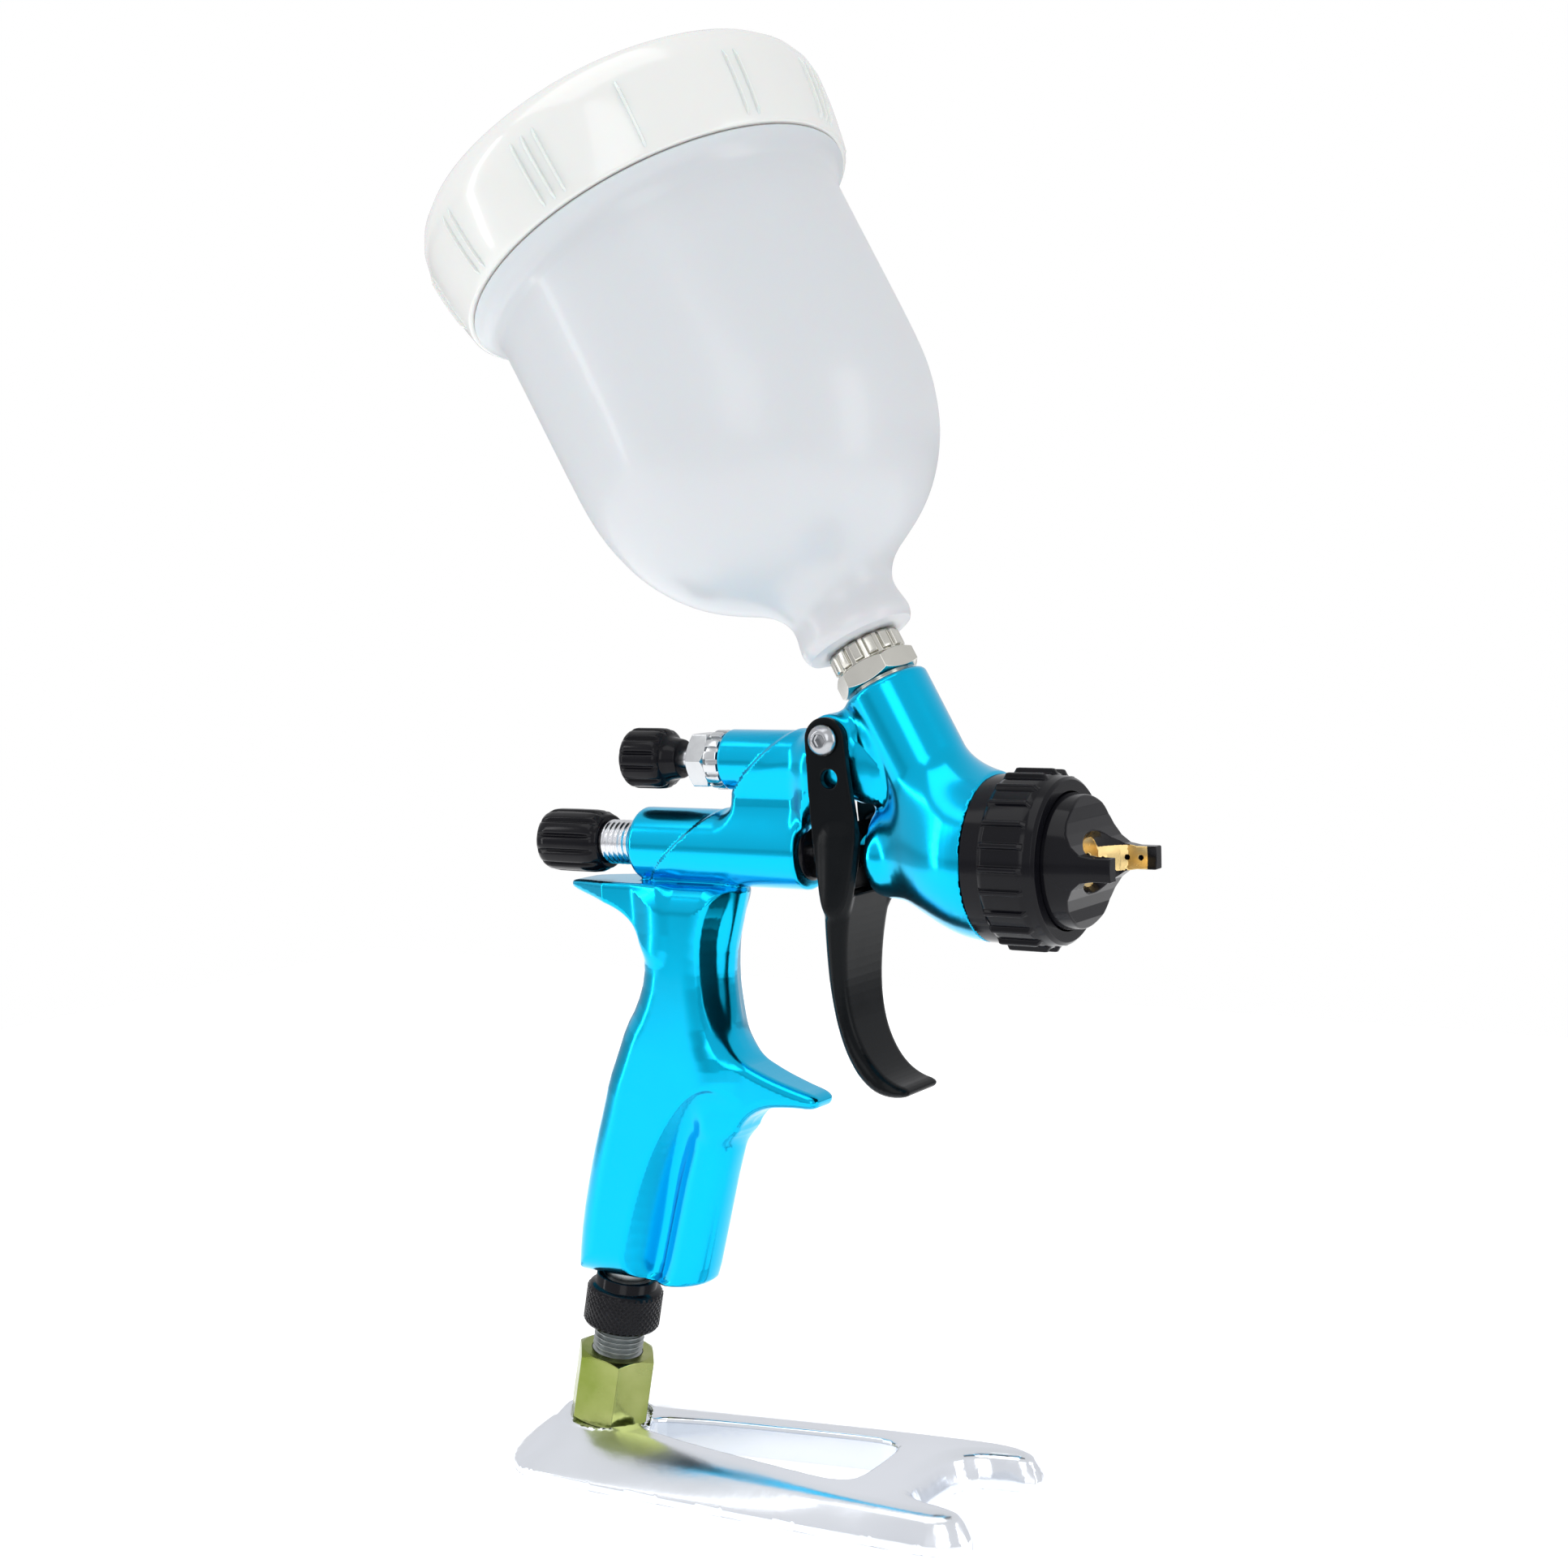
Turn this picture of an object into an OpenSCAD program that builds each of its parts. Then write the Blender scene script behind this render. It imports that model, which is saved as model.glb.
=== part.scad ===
// Gravity-feed spray gun with a plastic cup, standing on a cast display stand.
// +X is the spray direction, +Z is up, Y = 0 is the gun's plane of symmetry. Millimetres.
// The origin is on the stand's underside, where the axis of the air inlet meets it.
// Gun-side positions are written from the point of the spray axis above the lower housing's mouth.

/* [Layout] */
// Distance from the origin forward to the gun's reference point
gun_x = 62; // [55:0.5:70]
// Height of the spray axis above the table
axis_z = 162; // [150:0.5:175]
// Lean of the air inlet, forward going up
inlet_tilt = 11.3; // [5:0.1:18]
// Lean of the cup, backward going up
cup_tilt = 29.2; // [20:0.1:35]
// Where the cup's axis meets the spray axis, from the reference point
cup_x = 51.2; // [45:0.1:56]

/* [Stand] */
// Thickness of the stand at its top face
stand_h = 9.5; // [7:0.1:14]
// Height of the vertical edge around the stand
stand_edge = 3.2; // [2:0.1:5]
// Turn of the stand under the gun, counterclockwise from above
stand_turn = 2.5; // [-10:0.5:10]
// Hexagonal nut under the inlet, across flats
nut_af = 19; // [17:0.5:22]

/* [Handle and body] */
// Half thickness of the handle
grip_y = 11; // [9:0.1:13]
// Radius of the lower housing, which holds the air valve
low_r = 9.5; // [8.5:0.1:11]
// Radius of the upper housing, which holds the fan valve
up_r = 7.9; // [7:0.1:9]
// Height of the fan valve above the spray axis
fan_z = 21.7; // [20:0.1:24]
// Radius of the head's flange behind the air cap ring
flange_r = 19.7; // [18:0.1:22]
// Radius of the boss that takes the cup
boss_r = 10.7; // [9.5:0.1:12]
// Where the boss ends, along the cup's axis
boss_s = 46; // [42:0.5:50]

/* [Trigger] */
// Pivot of the trigger, forward of the reference point
pivot_x = 18.9; // [17:0.1:21]
// Pivot of the trigger, above the spray axis
pivot_z = 27.9; // [26:0.1:30]
// Radius of the pivot pin
pin_r = 2.95; // [2:0.05:3.5]
// Inner face of each side plate
plate_y = 10.2; // [9:0.1:12]
// Thickness of each side plate
plate_t = 2; // [1.5:0.1:3]

/* [Knobs] */
// Radius of the fluid needle knob
needle_knob_r = 7.95; // [7:0.05:9]
// Radius of the fan knob
fan_knob_r = 7.7; // [6.5:0.05:9]
// Radius of the threaded sleeve behind the lower housing
sleeve_r = 5.7; // [5:0.05:6.5]

/* [Air cap] */
// Radius of the knurled band of the ring
ring_r = 21.3; // [20:0.1:23]
// Radius of the air cap
cap_r = 15.8; // [14:0.1:17]
// Number of flutes round the ring
ring_flutes = 24; // [12:1:40]

/* [Cup] */
// Radius of the cup's wall
cup_r = 45.6; // [40:0.1:50]
// Wall thickness of the cup
cup_wall = 2; // [1.5:0.1:3]
// Radius of the lid at its widest
lid_r = 54; // [50:0.1:58]
// Rib groups round the lid
lid_groups = 8; // [4:1:12]

/* [Hidden] */
$fn = 96;
eps = 0.01;
blue = [0.0, 0.62, 0.86];
black = [0.03, 0.03, 0.035];
nickel = [0.78, 0.77, 0.72];
steel = [0.72, 0.73, 0.75];

// ---- placing helpers ----

// Origin at the gun's reference point, axes as the row's.
module gun() translate([gun_x, 0, axis_z]) children();

// Local z runs forward along the line at height dz above the spray axis, from x0.
module along(x0, dz = 0) gun() translate([x0, 0, dz]) rotate([0, 90, 0]) children();

// Local z runs up the cup's axis, from s.
module on_cup(s = 0) gun() translate([cup_x, 0, 0]) rotate([0, -cup_tilt, 0])
    translate([0, 0, s]) children();

// Local z runs up the inlet's axis, from t.
module on_inlet(t = 0) rotate([0, inlet_tilt, 0]) translate([0, 0, t]) children();

// A side profile in gun x and z, as thick as 2 * half in y.
module side(pts, half) gun() rotate([90, 0, 0])
    translate([0, 0, -half]) linear_extrude(height = 2 * half) polygon(pts);

// A side profile between two values of y.
module side_band(pts, y0, y1) gun() rotate([90, 0, 0])
    translate([0, 0, -y1]) linear_extrude(height = y1 - y0) polygon(pts);

// A bar along y at gun x and z.
module cross_bar(x, z, r, y0, y1) gun() translate([x, y0, z])
    rotate([-90, 0, 0]) cylinder(r = r, h = y1 - y0);

module hexagon(af, h) cylinder(r = af / 2 / cos(30), h = h, $fn = 6);

// Hexagon with its corners turned off at both ends.
module hex_nut(af, h) intersection() {
    hexagon(af, h);
    rotate_extrude() polygon([[0, 0], [af / 2 - 0.1, 0], [af / 2 / cos(30), af * 0.07],
        [af / 2 / cos(30), h - af * 0.07], [af / 2 - 0.1, h], [0, h]]);
}

module tube(r, ri, h) difference() {
    cylinder(r = r, h = h);
    translate([0, 0, -1]) cylinder(r = ri, h = h + 2);
}

// Rings on one axis joined by short posts, standing in for a wound coil.
module coil(r, wire, h, turns) {
    step = (h - 2 * wire) / (turns - 1);
    for (i = [0 : turns - 1]) translate([0, 0, wire + i * step])
        rotate_extrude() translate([r, 0]) circle(r = wire, $fn = 24);
    for (i = [0 : turns - 2]) rotate([0, 0, 180 * (i % 2)])
        translate([r, 0, wire + i * step]) cylinder(r = wire * 0.7, h = step, $fn = 24);
}

// Knob with rounded flutes, from z = 0 to h.
module fluted(r, h, n, cut) difference() {
    rotate_extrude() polygon([[0, 0], [r - 1.6, 0], [r - 0.5, 0.5], [r, 1.6], [r, h - 1],
        [r - 0.6, h], [0, h]]);
    for (i = [0 : n - 1]) rotate([0, 0, (i + 0.5) * 360 / n])
        translate([r + cut * 0.55, 0, -1]) cylinder(r = cut, h = h + 2, $fn = 32);
}

// ---- stand ----

// Outlines from the rear tip to the front, one half; the other half mirrors it.
foot_half = [[-18.5, 0], [-17.8, 10], [-15.5, 18.5], [-11.5, 24.5], [-5, 27.8], [6, 28.4],
    [60, 28.6], [103, 29], [110, 28.4], [115.5, 25.8], [117.5, 21.5], [116, 17.6],
    [107, 16.4], [101, 14.2], [98, 9.5], [97.5, 0]];
top_half = [[-9, 0], [-7, 6], [0, 10], [17, 12.5], [36, 16], [57, 19.5], [77, 22.6],
    [100, 25.3], [108, 25], [112.5, 23], [113.5, 20.5], [111, 18.8], [102, 17.2],
    [96.5, 14], [94.3, 8], [94, 0]];
window_half = [[13, 0], [14.5, 2.8], [18, 4.8], [33, 8.4], [56, 12], [74, 14.6],
    [79.5, 13.8], [82, 11], [82.5, 0]];
notch_half = [[97.5, 0], [98, 9.5], [101, 14.2], [107, 16.4], [116, 17.6], [126, 18.4], [126, 0]];
function both(h) = concat(h, [for (i = [len(h) - 2 : -1 : 1]) [h[i][0], -h[i][1]]]);

module leg(side_y) hull() {
    translate([0, 0, stand_edge]) linear_extrude(height = 0.01) intersection() {
        polygon(both(foot_half));
        translate([-30, side_y > 0 ? 9.5 : -49.5]) square([160, 40]);
    }
    translate([0, 0, stand_h - 0.01]) linear_extrude(height = 0.01) intersection() {
        polygon(both(top_half));
        translate([-30, side_y > 0 ? 3 : -43]) square([160, 40]);
    }
}

module stand_base() color([0.75, 0.77, 0.8]) difference() {
    union() {
        rotate([0, 0, stand_turn]) {
            linear_extrude(height = stand_edge) polygon(both(foot_half));
            leg(1);
            leg(-1);
            translate([0, 0, stand_edge - 0.5])
                linear_extrude(height = stand_h - stand_edge + 0.5) polygon(both(top_half));
        }
        difference() {
            on_inlet(2.5) cylinder(r1 = 18, r2 = 11.5, h = 7.5);
            translate([-40, -40, -20]) cube([80, 80, 20]);
        }
    }
    rotate([0, 0, stand_turn]) {
        translate([0, 0, -1]) linear_extrude(height = 20) polygon(both(window_half));
        translate([0, 0, -1]) linear_extrude(height = 20) polygon(both(notch_half));
    }
    on_inlet(-6) cylinder(r = 8.2, h = 10.8);
    on_inlet(-1) cylinder(r = 4.05, h = 20);
    on_inlet(10.03) cylinder(r = 11.3, h = 12);
}

module stand_bolt() color(steel) difference() {
    union() {
        on_inlet(1.9) cylinder(r = 7, h = 2.8);
        on_inlet(1.9) cylinder(r = 4, h = 15.3);
    }
    on_inlet(1.5) hexagon(6, 2.6);
}

module stand_hex_nut() color([0.78, 0.75, 0.42]) difference() {
    on_inlet(10.05) rotate([0, 0, 8]) hex_nut(nut_af, 18.4);
    on_inlet(9) cylinder(r = 4.05, h = 30);
    on_inlet(17.6) cylinder(r = 6.65, h = 20);
}

// ---- air inlet ----

module inlet_nipple() color(steel) difference() {
    union() {
        on_inlet(18) cylinder(r = 6.58, h = 17.4);
        on_inlet(18) cylinder(r = 5.5, h = 44);
    }
    on_inlet(17) cylinder(r = 3.6, h = 50);
}

module inlet_collar() color(black) difference() {
    union() {
        on_inlet(35.8) rotate_extrude() polygon([[0, 0], [9.2, 0], [10, 0.8], [10, 9.8],
            [9.2, 10.6], [8, 10.7], [8, 13.6], [0, 13.6]]);
    }
    on_inlet(35) cylinder(r = 5.58, h = 16);
    for (i = [0 : 35]) on_inlet(36.6) rotate([0, 0, i * 10])
        translate([10.25, 0, 0]) cylinder(r = 0.5, h = 9, $fn = 16);
}

// ---- body ----

// Rows of the handle: height below the spray axis, centre in x, half length in x.
grip_rows = [[-8, -27, 16], [-19.6, -28.5, 14.6], [-26.5, -28.6, 12.9], [-33, -28.8, 12.5],
    [-40, -29.7, 13.9], [-46, -30.9, 15.5], [-53, -31.3, 17.9], [-60, -32.6, 19.6],
    [-67, -33.9, 20.2], [-76, -36.1, 20.8], [-84, -38.4, 20.7], [-97, -41.6, 20.5],
    [-108, -43.8, 19.8], [-111.5, -44.4, 19.2], [-113, -44.6, 17.4]];
function grip(k) = concat([for (r = grip_rows) [r[1] - k * r[2], r[0]]],
    [for (i = [len(grip_rows) - 1 : -1 : 0])
        [grip_rows[i][1] + k * grip_rows[i][2], grip_rows[i][0]]]);
palm_spur = [[-66.5, -10.5], [-66, -12], [-60, -14.8], [-54, -17.2], [-46, -22], [-42, -28],
    [-30, -28], [-30, -8], [-40, -9.5], [-58, -9.8]];
finger_spur = [[-20, -42], [-15.5, -45], [-12, -50.5], [-5, -55], [3, -58.2], [8.5, -60.2],
    [9.6, -62], [8.2, -64], [2, -63.8], [-6, -64.5], [-11.5, -68], [-14, -73], [-20, -74]];

module head_shape() along(0) rotate_extrude() polygon([[0, 27], [9.6, 27], [10.6, 28],
    [11, 34], [12, 38], [14.4, 42], [17, 46.5], [18.6, 51], [19.4, 55], [flange_r, 58],
    [17.1, 58], [17.1, 66], [15, 66], [15, 60], [7.6, 60], [7.6, 62.5], [0, 62.5]]);

module gun_body() color(blue) difference() {
    union() {
        head_shape();
        on_cup(-4) cylinder(r = boss_r, h = boss_s + 2.5);
        on_cup(boss_s - 1.5) cylinder(r1 = boss_r, r2 = boss_r - 1.2, h = 1.5);
        along(-15, fan_z) cylinder(r = up_r, h = 47);
        along(-41.6) cylinder(r = low_r, h = 49.2);
        side([[-13, 5], [-13, 18], [14, 22], [30, 26], [32, 10], [27, 10], [22, 14],
            [8, 14], [7.4, 5]], 6.2);
        cross_bar(pivot_x, pivot_z, 6, -9.8, 9.8);
        side(grip(1), grip_y - 5);
        side(grip(0.93), grip_y - 2);
        side(grip(0.78), grip_y);
        side(palm_spur, 8.5);
        side(finger_spur, 7);
    }
    // rear bore for the sleeve, wall with the stem's hole, air chamber, valve seat bore
    along(-42) cylinder(r = sleeve_r + 0.02, h = 9.5);
    along(-34) cylinder(r = 3.2, h = 20);
    along(-30.5) cylinder(r = 5.1, h = 17);
    along(-14) cylinder(r = 6.45, h = 22);
    // fan valve bore
    along(-15.5, fan_z) cylinder(r = 5.6, h = 14);
    along(-3, fan_z) cylinder(r = 3, h = 12);
    gun() translate([4, 0, 3]) cylinder(r = 2, h = 20);
    // air up the handle
    on_inlet(49) cylinder(r = 5.52, h = 14);
    on_inlet(62) cylinder(r = 3.4, h = 95);
    on_inlet(44) cylinder(r = 8.3, h = 5.8);
    // needle passage, packing, paint chamber and nozzle thread
    along(26) cylinder(r = 3.45, h = 8.6);
    along(26) cylinder(r = 1.4, h = 20);
    along(38) cylinder(r = 4, h = 16);
    along(53) cylinder(r = 6, h = 14);
    // cup bore
    on_cup(36) cylinder(r = 7.1, h = 14);
    on_cup(0) cylinder(r = 4.5, h = 50);
    // trigger pivot
    cross_bar(pivot_x, pivot_z, pin_r + 0.02, -12, 12);
    // cheeks either side of the pivot lug
    for (m = [-1, 1]) gun() translate([pivot_x - 8, m > 0 ? 9.8 : -22, -70])
        cube([17, 12.2, 106]);
}

module needle_bushing() color(steel) difference() {
    along(-66) cylinder(r = sleeve_r, h = 33.2);
    along(-67) cylinder(r = 4.2, h = 36);
    for (i = [0 : 9]) along(-61.4 + i * 1.9) rotate_extrude()
        translate([sleeve_r + 0.1, 0]) circle(r = 0.45, $fn = 24);
}

module needle_spring() color(steel) along(-56.6) coil(3.4, 0.45, 19.6, 9);

module needle_spring_pad() color(steel) {
    along(-58.2) cylinder(r = 3.9, h = 1.2);
    along(-57.1) cylinder(r = 1.5, h = 3.6);
}

module needle_knob() color(black) difference() {
    union() {
        along(-72) fluted(needle_knob_r, 9.8, 12, 1);
        along(-62.3) cylinder(r = needle_knob_r - 0.9, h = 5.9);
    }
    difference() {
        along(-69.5) cylinder(r = sleeve_r + 0.06, h = 20);
        along(-70) cylinder(r = 3.6, h = 11.5);
    }
}

module fluid_needle() color(steel) {
    along(-47) cylinder(r = 1, h = 124.2);
    along(77.2) cylinder(r1 = 1, r2 = 0.35, h = 3.8);
    along(-36.6) cylinder(r = 3.6, h = 3);
}

module needle_packing() color([0.93, 0.92, 0.88]) along(31.1) tube(3.4, 1.06, 3.4);

module packing_nut() color(nickel) difference() {
    union() {
        along(27) cylinder(r = 3.42, h = 4);
        along(22.9) hex_nut(8, 4.1);
    }
    along(22) cylinder(r = 1.08, h = 12);
}

module air_valve_body() color(black) difference() {
    union() {
        along(-14) cylinder(r = 6.42, h = 22);
        along(7.7) cylinder(r = 7.5, h = 1.6);
        along(9.2) cylinder(r1 = 7.5, r2 = 6.6, h = 1);
    }
    along(-15) cylinder(r = 2.58, h = 30);
    along(-14.5) cylinder(r = 5, h = 4.9);
    along(-8) cylinder(r = 4.6, h = 12);
    for (a = [0, 90]) along(9.4) rotate([0, 0, a]) translate([-8, -1, 0]) cube([16, 2, 2]);
}

module air_valve_stem() color(nickel) difference() {
    union() {
        along(-32) cylinder(r = 2.5, h = 48);
        along(15.9) cylinder(r1 = 2.5, r2 = 1.8, h = 1.3);
        along(-12.8) cylinder(r = 4.4, h = 2);
    }
    along(-33) cylinder(r = 1.08, h = 52);
}

module air_valve_seal() color([0.1, 0.1, 0.1]) along(-10.8) tube(4.4, 2.5, 0.9);

module air_valve_spring() color(steel) along(-30.2) coil(3.75, 0.4, 17.1, 8);

// ---- fan valve ----

module fan_valve_body() color(nickel) difference() {
    union() {
        along(-24.7, fan_z) rotate([0, 0, 30]) hex_nut(11.6, 5.4);
        along(-19.4, fan_z) cylinder(r = 6.4, h = 4.4);
        along(-15.1, fan_z) cylinder(r = 5.55, h = 11);
    }
    along(-26, fan_z) cylinder(r = 2.66, h = 30);
    along(-12, fan_z) cylinder(r = 4.3, h = 10);
    for (i = [0 : 7]) along(-17.2, fan_z) rotate([0, 0, i * 45])
        translate([5.6, -0.7, 0]) cube([2, 1.4, 3]);
}

module fan_valve_stem() color(steel) {
    along(-41, fan_z) cylinder(r = 2.6, h = 36);
    along(-5.1, fan_z) cylinder(r1 = 2.6, r2 = 0.8, h = 6);
}

module fan_valve_oring() color([0.08, 0.08, 0.08]) along(-9, fan_z) rotate_extrude()
    translate([3.42, 0]) circle(r = 0.75, $fn = 32);

module fan_knob() color(black) difference() {
    union() {
        along(-45, fan_z) fluted(fan_knob_r, 12, 12, 1);
        along(-33.1, fan_z) cylinder(r1 = 6, r2 = 4.6, h = 4);
    }
    along(-41.02, fan_z) cylinder(r = 2.62, h = 20);
}

// ---- trigger ----

plate = [[13.5, 27.9], [14.1, 16], [14.9, 4], [15.6, -4], [16.9, -14], [17.7, -22],
    [21.8, -20], [23.4, -8], [25.6, 2], [27.2, 8], [26.6, 13], [25, 22], [24.3, 27.9]];
lever_front = [[25.6, 7.6], [25, 2], [23.3, -8], [22, -16], [21.8, -24], [22.6, -33],
    [24, -41], [26.2, -47], [29.4, -51.6], [33, -54.2], [36.4, -55.2]];
lever_rear = [[36, -57.2], [31, -57.6], [26.8, -55.6], [22.8, -50.6], [20.2, -43],
    [18.6, -33], [17.8, -24], [17.3, -16], [17.1, -10], [17.5, -4], [17.5, 7.6]];

module trigger() color(black) difference() {
    union() {
        for (m = [-1, 1]) {
            a = m > 0 ? plate_y : -plate_y - plate_t;
            side_band(plate, a, a + plate_t);
            cross_bar(pivot_x, pivot_z, 5.4, a, a + plate_t);
        }
        side(concat(lever_front, lever_rear), plate_y + 0.1);
    }
    // slot that the needle passes through, and room for the packing nut in front of it
    gun() translate([14, -1.7, -3.4]) cube([14, 3.4, 7]);
    gun() translate([20.2, -plate_y + 0.8, -9]) cube([7, 2 * plate_y - 1.6, 18]);
    for (m = [-1, 1]) {
        cross_bar(pivot_x, pivot_z, pin_r + 0.06, m > 0 ? 9 : -13, m > 0 ? 13 : -9);
        cross_bar(20, 18.7, 2.3, m > 0 ? 9 : -13, m > 0 ? 13 : -9);
    }
}

module trigger_pivot_pin() color(steel) difference() {
    cross_bar(pivot_x, pivot_z, pin_r, -12.5, 12.5);
    cross_bar(pivot_x, pivot_z, 1.6, -13, -6);
    cross_bar(pivot_x, pivot_z, 1.6, 6, 13);
}

module trigger_screws() color(steel) for (m = [0, 180])
    gun() translate([pivot_x, 0, pivot_z]) rotate([90, 0, m]) difference() {
        union() {
            translate([0, 0, 12.5]) rotate_extrude() polygon([[0, 0], [3.8, 0], [3.8, 0.5],
                [3.3, 1.4], [2.4, 2], [1.6, 2.2], [0, 2.2]]);
            translate([0, 0, 7]) cylinder(r = 1.55, h = 6);
        }
        translate([0, 0, 13.3]) hexagon(2.5, 3);
    }

// ---- nozzle set ----

module fluid_nozzle() color([0.75, 0.74, 0.7]) along(0) difference() {
    union() {
        translate([0, 0, 54]) cylinder(r = 5.95, h = 11.3);
        translate([0, 0, 65.2]) hexagon(13, 4);
        translate([0, 0, 69.1]) cylinder(r1 = 6.2, r2 = 4.4, h = 4);
        translate([0, 0, 73.1]) cylinder(r1 = 4.4, r2 = 1.5, h = 5.6);
        translate([0, 0, 78.7]) cylinder(r = 1.5, h = 4.3);
    }
    translate([0, 0, 53]) cylinder(r = 2.4, h = 20);
    translate([0, 0, 73]) cylinder(r1 = 2.4, r2 = 0.65, h = 7);
    translate([0, 0, 79.9]) cylinder(r = 0.65, h = 4);
}

module nozzle_seal() color([0.93, 0.92, 0.88]) along(53.1) tube(5.9, 4.1, 0.8);

module baffle_ring() color([0.8, 0.68, 0.4]) along(62.6) difference() {
    tube(14.9, 6, 2.5);
    for (i = [0 : 11]) rotate([0, 0, i * 30]) translate([11.2, 0, -1])
        cylinder(r = 1.1, h = 5, $fn = 32);
}

module air_cap() color(black) difference() {
    union() {
        along(0) rotate_extrude() polygon([[12.6, 69.6], [16.8, 69.6], [16.8, 73.6],
            [cap_r, 73.6], [cap_r, 79.4], [cap_r - 0.8, 80.4], [10, 81.4], [0, 81.4],
            [0, 79.2], [5.2, 79.2], [12.6, 73]]);
        for (m = [-1, 1]) intersection() {
            along(0) rotate_extrude() polygon([[9.6, 79], [cap_r - 0.6, 79.4], [14.6, 88],
                [14.6, 92.6], [11.2, 92.6], [10, 84]]);
            gun() translate([75, m > 0 ? 0 : -30, -2.7]) cube([25, 30, 5.4]);
        }
    }
    along(75) cylinder(r = 1.9, h = 10);
    for (m = [-1, 1]) {
        gun() translate([78, m * 6.8, 0]) rotate([0, 90, 0]) cylinder(r = 0.5, h = 6);
        for (x = [85.6, 89]) gun() translate([x, m * 13.6, 0])
            rotate([m * 90, 0, 0]) rotate([0, 25, 0]) cylinder(r = 0.6, h = 5);
    }
}

module air_cap_ring() color(black) difference() {
    along(0) rotate_extrude() polygon([[17.2, 58.3], [flange_r, 58.3], [flange_r, 63],
        [ring_r, 63.6], [ring_r, 73.2], [flange_r, 74], [flange_r - 0.4, 76],
        [flange_r - 1, 76.7], [16.1, 76.7], [16.1, 74], [17.2, 74], [17.2, 69.3],
        [17.8, 69.3], [17.8, 67.9], [17.2, 67.9]]);
    for (i = [0 : ring_flutes - 1]) along(63) rotate([0, 0, (i + 0.5) * 360 / ring_flutes])
        translate([ring_r - 0.5, -1.9, 0]) cube([2, 3.8, 11]);
}

module ring_clip() color(steel) along(68.6) difference() {
    rotate_extrude() translate([17.15, 0]) circle(r = 0.5, $fn = 32);
    translate([14, -2, -2]) cube([6, 4, 4]);
}

// ---- cup ----

module cup_fitting() color(nickel) on_cup(0) difference() {
    union() {
        rotate_extrude() polygon([[4.5, 37], [7.05, 37], [7.05, boss_s + 0.02],
            [8.9, boss_s + 0.02], [8.9, 48.6], [8.2, 48.6], [8.2, 57.3], [6.9, 57.3],
            [6.9, 65.8], [4.5, 65.8]]);
        difference() {
            translate([0, 0, 48.2]) rotate([0, 0, 12]) hex_nut(18.6, 5.2);
            translate([0, 0, 40]) cylinder(r = 6, h = 20);
        }
    }
    for (i = [0 : 5]) rotate([0, 0, i * 60 + 20]) translate([7.5, -1.5, 54])
        cube([3, 3, 5]);
}

cup_out = [[13.9, 59.4], [14.2, 61], [13.9, 63], [13.4, 65.5], [13.4, 68], [14.3, 70.5],
    [16.2, 73.2], [19.4, 75.9], [23.6, 78.4], [28.2, 81.4], [32.2, 84.8], [35.7, 88.8],
    [38.7, 93.2], [41.2, 98], [43.1, 103.5], [44.5, 109], [45.3, 115], [cup_r, 124],
    [cup_r + 0.3, 174], [48.6, 176], [48.6, 183.5]];
cup_in = [[46, 183.5], [44, 174], [cup_r - cup_wall, 124], [43.3, 115], [42.4, 109.4],
    [41, 104], [39.1, 98.9], [36.7, 94.4], [33.8, 90.2], [30.4, 86.4], [26.6, 83.2],
    [22, 80.4], [17.6, 77.8], [14, 74.6], [11.8, 71.6], [10.8, 69], [6.96, 66.2],
    [6.96, 57.5], [11.4, 57.5], [13, 58.2]];

module fluid_cup() color([0.93, 0.95, 0.97, 0.85]) on_cup() rotate_extrude()
    polygon(concat(cup_out, cup_in));

module paint_strainer() color([0.9, 0.75, 0.3]) on_cup() difference() {
    rotate_extrude() polygon([[4.2, 66.2], [6.4, 66.2], [6.4, 67.4], [4.3, 67.4],
        [3.9, 90], [3.4, 91], [0, 91], [0, 90.4], [3.2, 90.4], [3.5, 90]]);
    for (i = [0 : 3], j = [0 : 3]) rotate([0, 0, i * 90]) translate([2, -1.5, 69.4 + j * 5])
        cube([4, 3, 4]);
}

module lid_gasket() color([0.2, 0.2, 0.2]) on_cup(183.9) tube(48.3, 44.4, 1.7);

module cup_lid() color([0.93, 0.93, 0.88]) on_cup() {
    difference() {
        rotate_extrude() polygon([[48.95, 170], [51, 170], [51.6, 170.7], [52.9, 176],
            [lid_r, 186], [53.8, 190], [52.6, 193.4], [50.2, 196.4], [46.6, 198.4],
            [40, 199.4], [0, 199.8], [0, 197.4], [38, 197], [41.5, 195], [42, 186],
            [48.95, 186]]);
        translate([0, 0, 190]) cylinder(r = 2.55, h = 15);
    }
    for (g = [0 : lid_groups - 1], k = [-1 : 1])
        rotate([0, 0, g * 360 / lid_groups + k * 5 + 10])
            translate([50.5, -0.4, 173.5]) rotate([0, 7, 0]) cube([2.9, 0.8, 14.5]);
}

module lid_vent_plug() color([0.12, 0.12, 0.12]) on_cup() {
    translate([0, 0, 199.9]) cylinder(r1 = 5.5, r2 = 4.6, h = 2);
    translate([0, 0, 196]) cylinder(r = 2.5, h = 4);
}

stand_base();
stand_bolt();
stand_hex_nut();
inlet_nipple();
inlet_collar();
gun_body();
needle_bushing();
needle_knob();
needle_spring();
needle_spring_pad();
fluid_needle();
needle_packing();
packing_nut();
air_valve_body();
air_valve_stem();
air_valve_seal();
air_valve_spring();
fan_valve_body();
fan_valve_stem();
fan_valve_oring();
fan_knob();
trigger();
trigger_pivot_pin();
trigger_screws();
fluid_nozzle();
nozzle_seal();
baffle_ring();
air_cap();
air_cap_ring();
ring_clip();
cup_fitting();
fluid_cup();
paint_strainer();
cup_lid();
lid_gasket();
lid_vent_plug();
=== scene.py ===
import functools
import math

import bpy
import numpy as np
from mathutils import Matrix, Vector


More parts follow.
